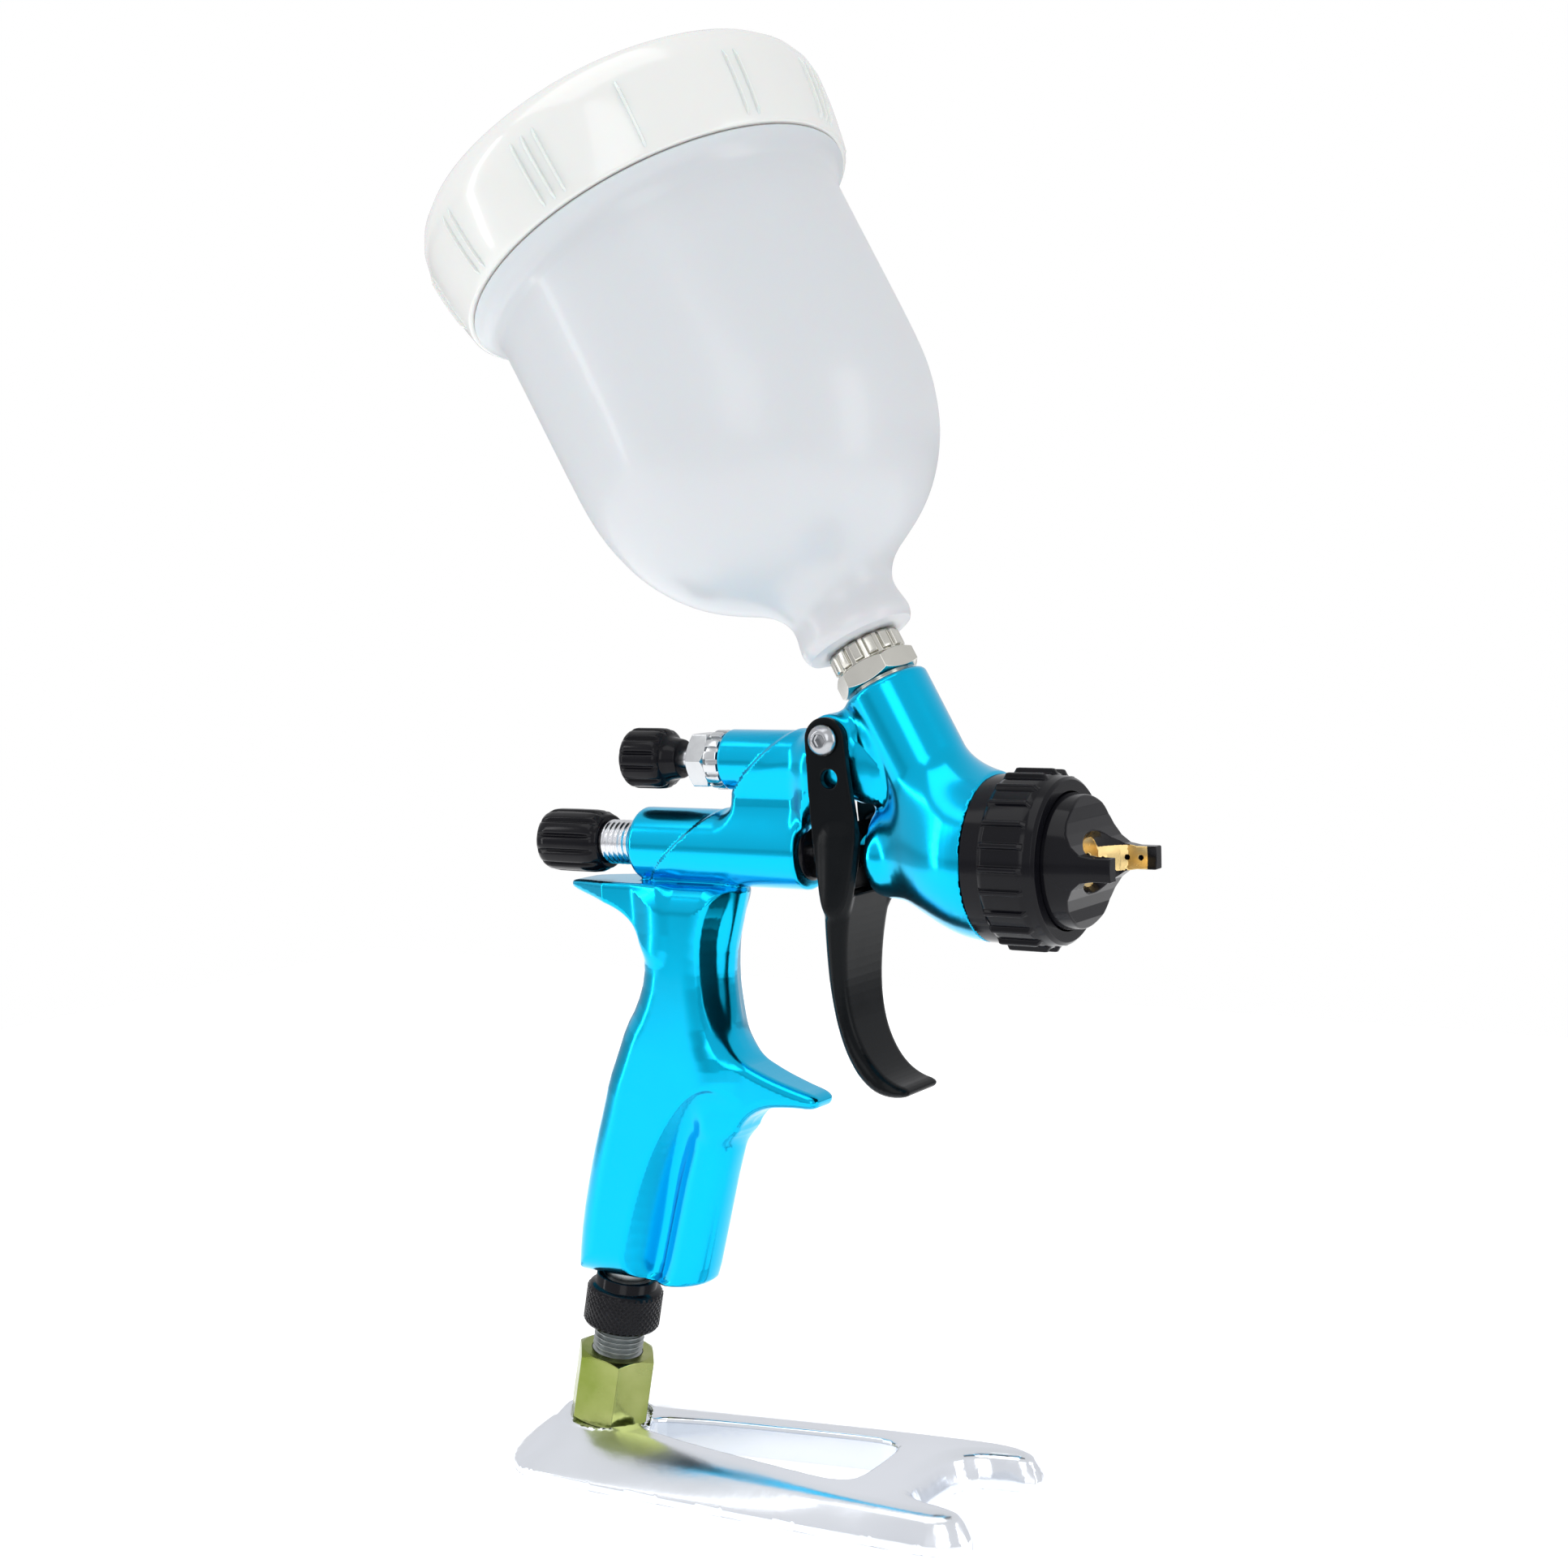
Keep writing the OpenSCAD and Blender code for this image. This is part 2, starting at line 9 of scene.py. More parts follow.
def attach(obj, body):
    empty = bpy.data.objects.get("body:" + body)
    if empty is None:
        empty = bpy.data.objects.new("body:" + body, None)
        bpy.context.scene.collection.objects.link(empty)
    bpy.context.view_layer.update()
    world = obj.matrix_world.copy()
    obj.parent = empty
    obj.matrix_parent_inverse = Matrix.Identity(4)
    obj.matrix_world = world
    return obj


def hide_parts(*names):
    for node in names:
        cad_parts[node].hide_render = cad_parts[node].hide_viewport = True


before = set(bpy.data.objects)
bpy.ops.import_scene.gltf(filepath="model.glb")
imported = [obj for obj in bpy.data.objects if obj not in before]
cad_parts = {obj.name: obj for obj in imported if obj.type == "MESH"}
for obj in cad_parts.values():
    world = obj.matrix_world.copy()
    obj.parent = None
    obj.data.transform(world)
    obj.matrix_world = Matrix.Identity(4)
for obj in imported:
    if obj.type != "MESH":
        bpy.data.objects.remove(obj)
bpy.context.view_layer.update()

# ---- Table, light and camera ----
# A white table top under a large overhead soft box, with a tall strip on the left and soft fills
# in front and on the right. The camera stands off the nozzle's right, a little above the air cap.

bpy.context.scene.view_settings.view_transform = "Standard"

camera_data = bpy.data.cameras.new("camera")
camera_data.lens = 55.9
camera_data.clip_start = 0.01
camera = bpy.data.objects.new("camera", camera_data)
turn, rise, roll = math.radians(32), math.radians(5), math.radians(-1.6)
camera_aim, camera_distance = Vector((0.062, 0, 0.178)), 0.597
camera_back = Vector((math.sin(turn) * math.cos(rise), -math.cos(turn) * math.cos(rise), math.sin(rise)))
level_right = Vector((math.cos(turn), math.sin(turn), 0))
level_up = camera_back.cross(level_right)
camera_right = math.cos(roll) * level_right + math.sin(roll) * level_up
camera_up = -math.sin(roll) * level_right + math.cos(roll) * level_up
camera.matrix_world = Matrix.Translation(camera_aim + camera_distance * camera_back) @ Matrix(
    (camera_right, camera_up, camera_back)).transposed().to_4x4()
bpy.context.collection.objects.link(camera)
bpy.context.scene.camera = camera


def soft_light(name, place, width, height, power):
    """A rectangular lamp that faces the middle of the gun."""
    data = bpy.data.lights.new(name, "AREA")
    data.shape = "RECTANGLE"
    data.size, data.size_y, data.energy = width, height, power
    lamp = bpy.data.objects.new(name, data)
    lamp.location = place
    lamp.rotation_euler = (Vector((0.06, 0, 0.18)) - Vector(place)).to_track_quat("-Z", "Y").to_euler()
    bpy.context.collection.objects.link(lamp)


soft_light("overhead_box", (-0.1, -0.3, 1.1), 0.8, 0.8, 2.6)
soft_light("left_strip", (-0.75, -0.62, 0.42), 0.09, 0.9, 1.3)
soft_light("front_fill", (0.62, -1.15, 0.6), 0.55, 0.9, 2.2)
soft_light("right_fill", (1.2, 0.1, 0.4), 0.4, 0.9, 2.0)

# Seen directly the room is plain white. What it reflects is a grey ramp, darkest just under eye level.
world = bpy.data.worlds.new("studio")
bpy.context.scene.world = world
world.use_nodes = True
nodes, links = world.node_tree.nodes, world.node_tree.links
nodes.clear()
backdrop = nodes.new("ShaderNodeBackground")
backdrop.inputs["Color"].default_value = (1, 1, 1, 1)
backdrop.inputs["Strength"].default_value = 1.0
room = nodes.new("ShaderNodeBackground")
room.inputs["Strength"].default_value = 0.82
direction = nodes.new("ShaderNodeTexCoord")
split = nodes.new("ShaderNodeSeparateXYZ")
height_share = nodes.new("ShaderNodeMath")
height_share.operation = "MULTIPLY_ADD"
height_share.inputs[1].default_value = 0.5
height_share.inputs[2].default_value = 0.5
ramp = nodes.new("ShaderNodeValToRGB")
ends = ramp.color_ramp.elements
ends[0].position, ends[0].color = 0.0, (0.7, 0.7, 0.7, 1)
ends[1].position, ends[1].color = 1.0, (0.95, 0.95, 0.95, 1)
for at, tone in ((0.36, 0.85), (0.44, 0.75), (0.49, 0.55), (0.53, 0.95), (0.7, 1.0)):
    ramp.color_ramp.elements.new(at).color = (tone, tone, tone * 1.02, 1)
rays = nodes.new("ShaderNodeLightPath")
either = nodes.new("ShaderNodeMixShader")
sky = nodes.new("ShaderNodeOutputWorld")
links.new(direction.outputs["Generated"], split.inputs[0])
links.new(split.outputs["Z"], height_share.inputs[0])
links.new(height_share.outputs[0], ramp.inputs[0])
links.new(ramp.outputs[0], room.inputs["Color"])
links.new(rays.outputs["Is Camera Ray"], either.inputs[0])
links.new(room.outputs[0], either.inputs[1])
links.new(backdrop.outputs[0], either.inputs[2])
links.new(either.outputs[0], sky.inputs["Surface"])

table_mesh = bpy.data.meshes.new("table")
table_mesh.from_pydata([(-0.65, -0.65, 0), (0.75, -0.65, 0), (0.75, 0.65, 0), (-0.65, 0.65, 0)], [], [(0, 1, 2, 3)])
table = bpy.data.objects.new("table", table_mesh)
bpy.context.collection.objects.link(table)
table_paint = bpy.data.materials.new("white_table")
table_paint.use_nodes = True
table_shader = table_paint.node_tree.nodes["Principled BSDF"]
table_shader.inputs["Base Color"].default_value = (0.93, 0.93, 0.93, 1)
table_shader.inputs["Roughness"].default_value = 0.6
table_shader.inputs["Emission Color"].default_value = (1, 1, 1, 1)
table_shader.inputs["Emission Strength"].default_value = 0.45
table_mesh.materials.append(table_paint)

# ---- Stand ----
# A forked foot, sand cast in aluminium and polished on a wheel. A boss at its rear carries the nut,
# a long window and a notch between its two toes save metal. The gun is parked on it.


def outline(a, b, points):
    """Signed distance from (a, b) to a closed outline, negative inside."""
    nearest, inside = np.inf, False
    for i, (p, q) in enumerate(points):
        r, s = points[(i + 1) % len(points)]
        ex, ez = r - p, s - q
        share = np.clip(((a - p) * ex + (b - q) * ez) / (ex * ex + ez * ez), 0, 1)
        nearest = np.minimum(nearest, (a - p - share * ex) ** 2 + (b - q - share * ez) ** 2)
        if ez:
            inside = inside ^ (((q > b) != (s > b)) & (a < ex * (b - q) / ez + p))
    return np.where(inside, -1.0, 1.0) * np.sqrt(nearest)


def eased(points, rounds=2, closed=True):
    """An outline with its corners cut again and again, towards a smooth curve."""
    for _ in range(rounds):
        cut = [] if closed else [points[0]]
        for i in range(len(points) if closed else len(points) - 1):
            (p, q), (r, s) = points[i], points[(i + 1) % len(points)]
            cut += [(0.75 * p + 0.25 * r, 0.75 * q + 0.25 * s), (0.25 * p + 0.75 * r, 0.25 * q + 0.75 * s)]
        points = cut if closed else cut + [points[-1]]
    return points


def joined(a, b, fillet):
    """Both shapes, with a fillet where they meet."""
    u, v = np.maximum(fillet - a, 0), np.maximum(fillet - b, 0)
    return np.maximum(fillet, np.minimum(a, b)) - np.sqrt(u * u + v * v)


def kept(a, b, edge):
    """What the two shapes share, with a rounded edge."""
    u, v = np.maximum(edge + a, 0), np.maximum(edge + b, 0)
    return np.minimum(-edge, np.maximum(a, b)) + np.sqrt(u * u + v * v)


def cast(name, shape, low, high, step, origin=(0, 0, 0)):
    """A closed skin over a shape given as a distance in millimetres, with exact surface normals."""
    low, high = np.array(low, float), np.array(high, float)
    n = np.ceil((high - low) / step).astype(int) + 1
    ax = [low[i] + step * np.arange(n[i]) for i in range(3)]
    f = np.broadcast_to(shape(ax[0][:, None, None], ax[1][None, :, None], ax[2][None, None, :]), n).astype(np.float32)
    full = (f < 0).astype(np.int8)
    corners = [np.array((i, j, k)) for i in (0, 1) for j in (0, 1) for k in (0, 1)]

    # One point for each cell that the skin passes through, at the mean of where it crosses the edges.
    count = sum(full[i:n[0] - 1 + i, j:n[1] - 1 + j, k:n[2] - 1 + k] for i, j, k in corners)
    cells = np.argwhere((count > 0) & (count < 8))
    number = -np.ones(n - 1, np.int64)
    number[tuple(cells.T)] = np.arange(len(cells))
    total, hits = np.zeros((len(cells), 3)), np.zeros(len(cells))
    for a in corners:
        for b in corners:
            if (b - a).sum() == 1 and (b >= a).all():
                fa, fb = f[tuple((cells + a).T)], f[tuple((cells + b).T)]
                crossed = (fa < 0) != (fb < 0)
                share = np.where(crossed, fa / np.where(crossed, fa - fb, 1), 0)
                total += np.where(crossed[:, None], a + share[:, None] * (b - a), 0)
                hits += crossed
    points = low + step * (cells + total / hits[:, None])

    # One face for each grid edge that the skin crosses, turned to look outwards.
    quads = []
    for axis in range(3):
        u, v = (axis + 1) % 3, (axis + 2) % 3
        first = [slice(None)] * 3
        first[axis] = slice(0, -1)
        second = [slice(None)] * 3
        second[axis] = slice(1, None)
        edge = np.argwhere(full[tuple(first)] != full[tuple(second)])
        edge = edge[(edge[:, u] > 0) & (edge[:, v] > 0) & (edge[:, u] < n[u] - 1) & (edge[:, v] < n[v] - 1)]
        du, dv = np.eye(3, dtype=int)[u], np.eye(3, dtype=int)[v]
        ring = np.stack([number[tuple((edge - s * du - t * dv).T)] for s, t in ((1, 1), (0, 1), (0, 0), (1, 0))], 1)
        out = full[tuple(edge.T)] == 1
        quads.append(np.where(out[:, None], ring, ring[:, ::-1]))
    quads = np.concatenate(quads)

    def slope(p):
        h = 0.02
        g = np.stack([shape(*(p + h * np.eye(3)[i]).T) - shape(*(p - h * np.eye(3)[i]).T) for i in range(3)], 1)
        return g / (2 * h)

    # The points are drawn onto the true surface, and take its normals.
    for _ in range(3):
        g = slope(points)
        move = -shape(*points.T)[:, None] * g / np.maximum((g * g).sum(1), 0.05)[:, None]
        length = np.linalg.norm(move, axis=1)[:, None]
        points = points + move * np.minimum(1, 0.5 * step / np.maximum(length, 1e-9))
    g = slope(points)
    normals = g / np.maximum(np.linalg.norm(g, axis=1), 1e-9)[:, None]
    mesh = bpy.data.meshes.new(name)
    mesh.from_pydata(((points + np.array(origin)) / 1000).tolist(), [], quads.tolist())
    mesh.update()
    mesh.shade_smooth()
    mesh.normals_split_custom_set_from_vertices(normals.tolist())
    piece = bpy.data.objects.new(name, mesh)
    bpy.context.collection.objects.link(piece)
    return piece


fine = 1.0


def mirrored(half):
    """A closed outline from its half on one side of the axis."""
    return half + [(p, -q) for p, q in half[-2:0:-1]]


foot_half = [(-18.5, 0), (-17.8, 10), (-15.5, 18.5), (-11.5, 24.5), (-5, 27.8), (6, 28.4), (60, 28.6), (103, 29),
             (110, 28.4), (115.5, 25.8), (117.5, 21.5), (116, 17.6), (107, 16.4), (101, 14.2), (98, 9.5), (97.5, 0)]
top_half = [(-9, 0), (-7, 6), (0, 10), (17, 12.5), (36, 16), (57, 19.5), (77, 22.6), (100, 25.3), (108, 25),
            (112.5, 23), (113.5, 20.5), (111, 18.8), (102, 17.2), (96.5, 14), (94.3, 8), (94, 0)]
window_half = [(13, 0), (14.5, 2.8), (18, 4.8), (33, 8.4), (56, 12), (74, 14.6), (79.5, 13.8), (82, 11), (82.5, 0)]
foot_top, boss_top, nut_spotface, bolt_clearance = 9.5, 10, 11.3, 4.1
stand_turn = math.radians(2.5)
inlet_lean = math.radians(11.3)


def about_inlet(x, y, z):
    """How far along the leaning axis of bolt, nut and air inlet a point is, and how far off it."""
    off = x * math.cos(inlet_lean) - z * math.sin(inlet_lean)
    return x * math.sin(inlet_lean) + z * math.cos(inlet_lean), np.sqrt(off ** 2 + y * y)


def stand_shape(x, y, z):
    """The tapered foot and its boss, then the nut's seat, the window and the bolt hole cut out."""
    u = x * math.cos(stand_turn) + y * math.sin(stand_turn)
    v = y * math.cos(stand_turn) - x * math.sin(stand_turn)
    foot = outline(u, v, eased(mirrored(foot_half), 1))
    top = outline(u, v, eased(mirrored(top_half), 1))
    rise = np.clip((z - 2.6) / 6.9, 0, 1) ** 1.25
    flank = (foot * (1 - rise) + top * rise) * 0.75
    solid = kept(kept(flank, z - foot_top, 2.2), -z, 0.6)
    t, r = about_inlet(x, y, z)
    boss = kept(kept((r - 17 + (t - 2.5) * 0.8) * 0.75, t - boss_top, 1.0), -z, 0.5)
    solid = joined(solid, boss, 5.0)
    solid = kept(kept(solid, -z, 0.6), -np.maximum(r - nut_spotface, boss_top - t), 0.2)
    window = outline(u, v, eased(mirrored(window_half), 1))
    return kept(kept(solid, -window, 1.6), -np.maximum(r - bolt_clearance, 5 - t), 0.2)


stand = cast("stand_casting", stand_shape, (-22, -33, -1.5), (121, 36, 14), 0.75 * fine)


def mottle_group():
    """Fine uneven patches and pits, which a hand-finished or moulded surface has."""
    group = bpy.data.node_groups.new("uneven_surface", "ShaderNodeTree")
    for way, names in (("INPUT", ("Scale", "Low", "High")), ("OUTPUT", ("Value", "Height"))):
        for name in names:
            group.interface.new_socket(name=name, in_out=way, socket_type="NodeSocketFloat")
    n, l = group.nodes, group.links
    given, result = n.new("NodeGroupInput"), n.new("NodeGroupOutput")
    where = n.new("ShaderNodeTexCoord")
    coarse = n.new("ShaderNodeTexNoise")
    coarse.inputs["Detail"].default_value = 5
    grain = n.new("ShaderNodeTexNoise")
    grain.inputs["Detail"].default_value = 2
    times = n.new("ShaderNodeMath")
    times.operation = "MULTIPLY"
    times.inputs[1].default_value = 9
    spread = n.new("ShaderNodeMapRange")
    spread.inputs["From Min"].default_value = 0.3
    spread.inputs["From Max"].default_value = 0.7
    l.new(where.outputs["Object"], coarse.inputs["Vector"])
    l.new(where.outputs["Object"], grain.inputs["Vector"])
    l.new(given.outputs["Scale"], coarse.inputs["Scale"])
    l.new(given.outputs["Scale"], times.inputs[0])
    l.new(times.outputs[0], grain.inputs["Scale"])
    l.new(coarse.outputs["Fac"], spread.inputs["Value"])
    l.new(given.outputs["Low"], spread.inputs["To Min"])
    l.new(given.outputs["High"], spread.inputs["To Max"])
    l.new(spread.outputs[0], result.inputs["Value"])
    l.new(grain.outputs["Fac"], result.inputs["Height"])
    return group


uneven = mottle_group()


def finish(name, color, metallic, rough, scale=120, bump=0.0, spread=0.04, tone=0.06, other=None, **more):
    """A finish whose tone and gloss vary a little over the surface; bump is in millimetres."""
    lighter = other or [min(c * (1 + tone), 1) for c in color]
    material = bpy.data.materials.new(name)
    material.use_nodes = True
    n, l = material.node_tree.nodes, material.node_tree.links
    shader = n["Principled BSDF"]
    shader.inputs["Metallic"].default_value = metallic
    gloss = n.new("ShaderNodeGroup")
    gloss.node_tree = uneven
    gloss.inputs["Scale"].default_value = scale
    gloss.inputs["Low"].default_value = max(rough - spread, 0.01)
    gloss.inputs["High"].default_value = rough + spread
    l.new(gloss.outputs["Value"], shader.inputs["Roughness"])
    shade = n.new("ShaderNodeGroup")
    shade.node_tree = uneven
    shade.inputs["Scale"].default_value = scale * 0.4
    shade.inputs["Low"].default_value = 0
    shade.inputs["High"].default_value = 1
    mix = n.new("ShaderNodeMix")
    mix.data_type = "RGBA"
    mix.inputs["A"].default_value = (*[c * (1 - tone) for c in color], 1)
    mix.inputs["B"].default_value = (*lighter, 1)
    l.new(shade.outputs["Value"], mix.inputs["Factor"])
    l.new(mix.outputs["Result"], shader.inputs["Base Color"])
    if bump:
        relief = n.new("ShaderNodeBump")
        relief.inputs["Strength"].default_value = 1
        relief.inputs["Distance"].default_value = bump / 1000
        l.new(gloss.outputs["Height"], relief.inputs["Height"])
        l.new(relief.outputs[0], shader.inputs["Normal"])
    for socket, value in more.items():
        shader.inputs[socket.replace("_", " ").title().replace("Ior", "IOR")].default_value = value
    return material


def fit(piece, body, material, node=None):
    """Give a piece its finish and the body it moves with, and let it stand for its CAD node."""
    piece.data.materials.clear()
    piece.data.materials.append(material)
    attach(piece, body)
    if node:
        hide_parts(node)


def dress(node, material):
    """Give a CAD node that stays in view its finish."""
    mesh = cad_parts[node].data
    mesh.materials.clear()
    mesh.materials.append(material)


polished_casting = finish("polished_cast_aluminium", (0.80, 0.83, 0.88), 1.0, 0.2, scale=45, bump=0.03, spread=0.07)
fit(stand, "gun", polished_casting, "stand_base")

# ---- Stand bolt and hexagonal nut ----
# A socket-head bolt comes up through the casting into a tall coupling nut of yellow-passivated zinc
# plated steel. The nut's upper half takes the gun's inlet thread.

millimetres = Matrix.Scale(0.001, 4)


def on_inlet(t):
    """A place on the leaning axis of bolt, nut and air inlet."""
    return millimetres @ Matrix.Rotation(inlet_lean, 4, "Y") @ Matrix.Translation((0, 0, t))


def piece_of(name, points, faces, edges=()):
    """A new object from points, faces and loose edges."""
    mesh = bpy.data.meshes.new(name)
    mesh.from_pydata(points, list(edges), faces)
    mesh.update()
    piece = bpy.data.objects.new(name, mesh)
    bpy.context.collection.objects.link(piece)
    return piece


def settle(piece, place, bevel=0.0, segments=2, angle=30):
    """Round the sharp edges, then apply the stack and put the mesh in its place."""
    if bevel:
        soft = piece.modifiers.new("soft_edges", "BEVEL")
        soft.width, soft.segments = bevel, segments
        soft.limit_method, soft.angle_limit = "ANGLE", math.radians(angle)
    flat = piece.modifiers.new("even_shading", "WEIGHTED_NORMAL")
    flat.keep_sharp = True
    mesh = bpy.data.meshes.new_from_object(piece.evaluated_get(bpy.context.evaluated_depsgraph_get()))
    mesh.transform(place)
    mesh.name = piece.name
    piece.modifiers.clear()
    spare = piece.data
    piece.data = mesh
    bpy.data.meshes.remove(spare)
    return piece


def skin(around, rows, closed=True):
    """The faces between neighbouring columns of points that stand round an axis."""
    faces = []
    for i in range(around):
        here, beside = i * rows, (i + 1) % around * rows
        for j in range(rows if closed else rows - 1):
            up = (j + 1) % rows
            faces.append((here + j, beside + j, beside + up, here + up))
    return faces


def hexagon_nut(name, across, height, bore, place, chamfer=0.5, bevel=0.15, turn=0.0):
    """A hexagon with both ends turned down at 30 degrees, which leaves an arc on every flat."""
    around = 96
    crown = across / 2 * 0.97
    points = []
    for i in range(around):
        a = 2 * math.pi * i / around
        side = across / 2 / math.cos(a % (math.pi / 3) - math.pi / 6)
        drop = (side - crown) * chamfer
        column = [(bore, height), (crown, height), (side, height - drop), (side, drop), (crown, 0), (bore, 0)]
        points += [(r * math.cos(a + turn), r * math.sin(a + turn), h) for r, h in column]
    piece = piece_of(name, points, [face[::-1] for face in skin(around, len(column))])
    piece.data.shade_smooth()
    return settle(piece, place, bevel, 2, 20)


zinc_steel = finish("zinc_plated_steel", (0.60, 0.61, 0.63), 1.0, 0.3, scale=300, bump=0.004)
yellow_zinc = finish("yellow_passivated_zinc", (0.20, 0.26, 0.045), 1.0, 0.24, scale=110, bump=0.02, spread=0.08,
                     other=(0.40, 0.42, 0.17))
dress("stand_bolt", zinc_steel)
nut = hexagon_nut("coupling_nut", 19, 18.4, 6.7, on_inlet(10.05), bevel=0.25, turn=math.radians(8))
fit(nut, "gun", yellow_zinc, "stand_hex_nut")

# ---- Air inlet: nipple and knurled collar ----
# A bright steel nipple with a G1/4 pipe thread screws up into the handle. A black anodised
# collar turns on it, with a diamond knurl pressed into its band.


def turned(name, profile, place, steps=96, bevel=0.12, segments=2, angle=30):
    """A lathe-turned piece from its (radius, height) profile; the profile closes on itself or on the axis."""
    area = sum(profile[i - 1][0] * profile[i][1] - profile[i][0] * profile[i - 1][1] for i in range(len(profile)))
    points = [(r, 0, h) for r, h in (profile[::-1] if area > 0 else profile)]
    solid = points[0][0] == 0 and points[-1][0] == 0
    edges = [(i, i + 1) for i in range(len(points) - 1)] + ([] if solid else [(len(points) - 1, 0)])
    piece = piece_of(name, points, [], edges)
    lathe = piece.modifiers.new("lathe", "SCREW")
    lathe.steps = lathe.render_steps = steps
    lathe.use_merge_vertices, lathe.merge_threshold = True, 0.0005
    lathe.use_smooth_shade = True
    return settle(piece, place, bevel, segments, angle)


bright_steel = finish("turned_bright_steel", (0.70, 0.71, 0.74), 1.0, 0.2, scale=500, bump=0.003)
black_anodised = finish("gloss_black_anodised", (0.004, 0.004, 0.006), 0.0, 0.14, scale=200, spread=0.03,
                        specular_ior_level=0.17)
thread_pitch, thread_root, thread_crest = 1.337, 5.75, 6.58
thread = [(3.6, 18), (6.2, 18)]
for i in range(13):
    t = 18.4 + i * thread_pitch
    thread += [(thread_root, t), (thread_crest, t + 0.55), (thread_crest, t + 0.7), (thread_root, t + 1.25)]
thread += [(5.5, 35.4), (5.5, 62), (3.6, 62)]
thread_steel = finish("dull_thread_steel", (0.30, 0.32, 0.32), 1.0, 0.3, scale=300, bump=0.006, tone=0.15)
nipple = turned("inlet_thread", thread, on_inlet(0), bevel=0.06)
fit(nipple, "gun", thread_steel, "inlet_nipple")


def knurled_collar():
    """A closed sleeve whose band carries crossed grooves."""
    around, ribs, rows = 288, 36, 42
    band_foot, band_height, band_radius, groove = 36.7, 8.7, 10.0, 0.42
    profile = [(5.58, 35.8), (9.1, 35.8), (9.6, 36.1), (9.75, 36.6)]
    profile += [(None, band_foot + band_height * j / rows) for j in range(rows + 1)]
    profile += [(9.75, 45.5), (9.5, 46.1), (9.0, 46.5), (8.2, 46.6), (8.0, 46.8), (8.0, 49.2), (7.8, 49.4),
                (5.58, 49.4)]
    points = []
    for i in range(around):
        a = 2 * math.pi * i / around
        for r, h in profile:
            if r is None:
                u = i * ribs / around
                v = (h - band_foot) * ribs / (2 * math.pi * 9.8)
                deep = max(1 - 2.4 * abs((u + v) % 1 - 0.5) * 2, 1 - 2.4 * abs((u - v) % 1 - 0.5) * 2, 0)
                r = band_radius - groove * deep
            points.append((r * math.cos(a), r * math.sin(a), h))
    piece = piece_of("knurled_collar", points, skin(around, len(profile)))
    return settle(piece, on_inlet(0))


collar = knurled_collar()
collar.data.shade_smooth()
fit(collar, "inlet_collar", black_anodised, "inlet_collar")

# ---- Gun body ----
# One aluminium forging: handle, two rear housings, trigger lug, head and cup boss, all run into
# each other with fillets, buffed bright and dyed blue. The needle's axis is its own long axis.

gun_origin = (62, 0, 162)
fan_height = 21.7
pivot_x, pivot_height = 18.9, 27.9
cup_foot, cup_lean = 51.2, math.radians(29.2)
grip_rows = [(-8, -25.5, 14.5), (-19.6, -26.6, 12.7), (-26.5, -27.9, 12.2), (-33, -28.2, 11.9), (-40, -29.2, 13.4),
             (-46, -30.9, 15.5), (-53, -31.3, 17.9), (-60, -32.6, 19.6), (-67, -33.9, 20.2), (-76, -36.1, 20.8),
             (-84, -38.4, 20.7), (-97, -41.6, 20.5), (-108, -43.8, 19.8), (-111.5, -44.4, 19.2), (-113, -44.6, 17.4)]
grip_edge = [(c - h, z) for z, c, h in grip_rows] + [(c + h, z) for z, c, h in grip_rows[::-1]]
wide_side = [(-70, 0), (-14, 0), (-15.5, -10), (-19.8, -21), (-20.8, -33), (-19.3, -43.6), (-16.6, -52.3),
             (-12, -57), (14, -57), (14, -68), (-10, -61.5), (-15, -59.8), (-21, -61), (-27.4, -65.5), (-34.8, -76),
             (-40, -87.6), (-44.4, -101), (-48, -118), (-80, -118)]
palm_edge = [(-61.8, -9.4), (-62.6, -10.4), (-62.2, -11.6), (-59, -12.5), (-53, -13.7), (-47.5, -15.3), (-43, -17.6),
             (-39.8, -21), (-37.4, -26), (-30, -30), (-30, -8), (-40, -8), (-58, -8.7)]
finger_edge = [(-24, -44), (-17, -48.5), (-12.4, -52.8), (-5, -56.2), (3, -58.8), (8.5, -60.2), (9.8, -62), (8.4, -64),
               (2, -63.8), (-6, -64.5), (-11.5, -68), (-14, -73), (-24, -74)]
head_edge = eased([(27, -5), (27, 9.6), (29, 10.6), (34, 10.9), (38, 12.2), (42, 14.4), (46.5, 16.9), (51, 18.6),
                   (55, 19.4), (58, 19.7)], 3, False) + [(58, -5)]
web_edge = [(-30, -3), (-13, 5), (-12, 17), (6, 24), (14, 24), (14, 14), (8, 9), (7, -3)]
lug_edge = [(9, 5), (8.5, 16), (10, 26), (14, 31), (20, 33.5), (27, 33), (32, 26), (33, 14), (27.5, 12), (22, 14.2),
            (14.5, 14), (11, 11)]


def about_cup(x, y, z):
    """How far along the cup's axis a point is, and how far off it."""
    off = (x - cup_foot) * math.cos(cup_lean) + z * math.sin(cup_lean)
    return z * math.cos(cup_lean) - (x - cup_foot) * math.sin(cup_lean), np.sqrt(off ** 2 + y * y)


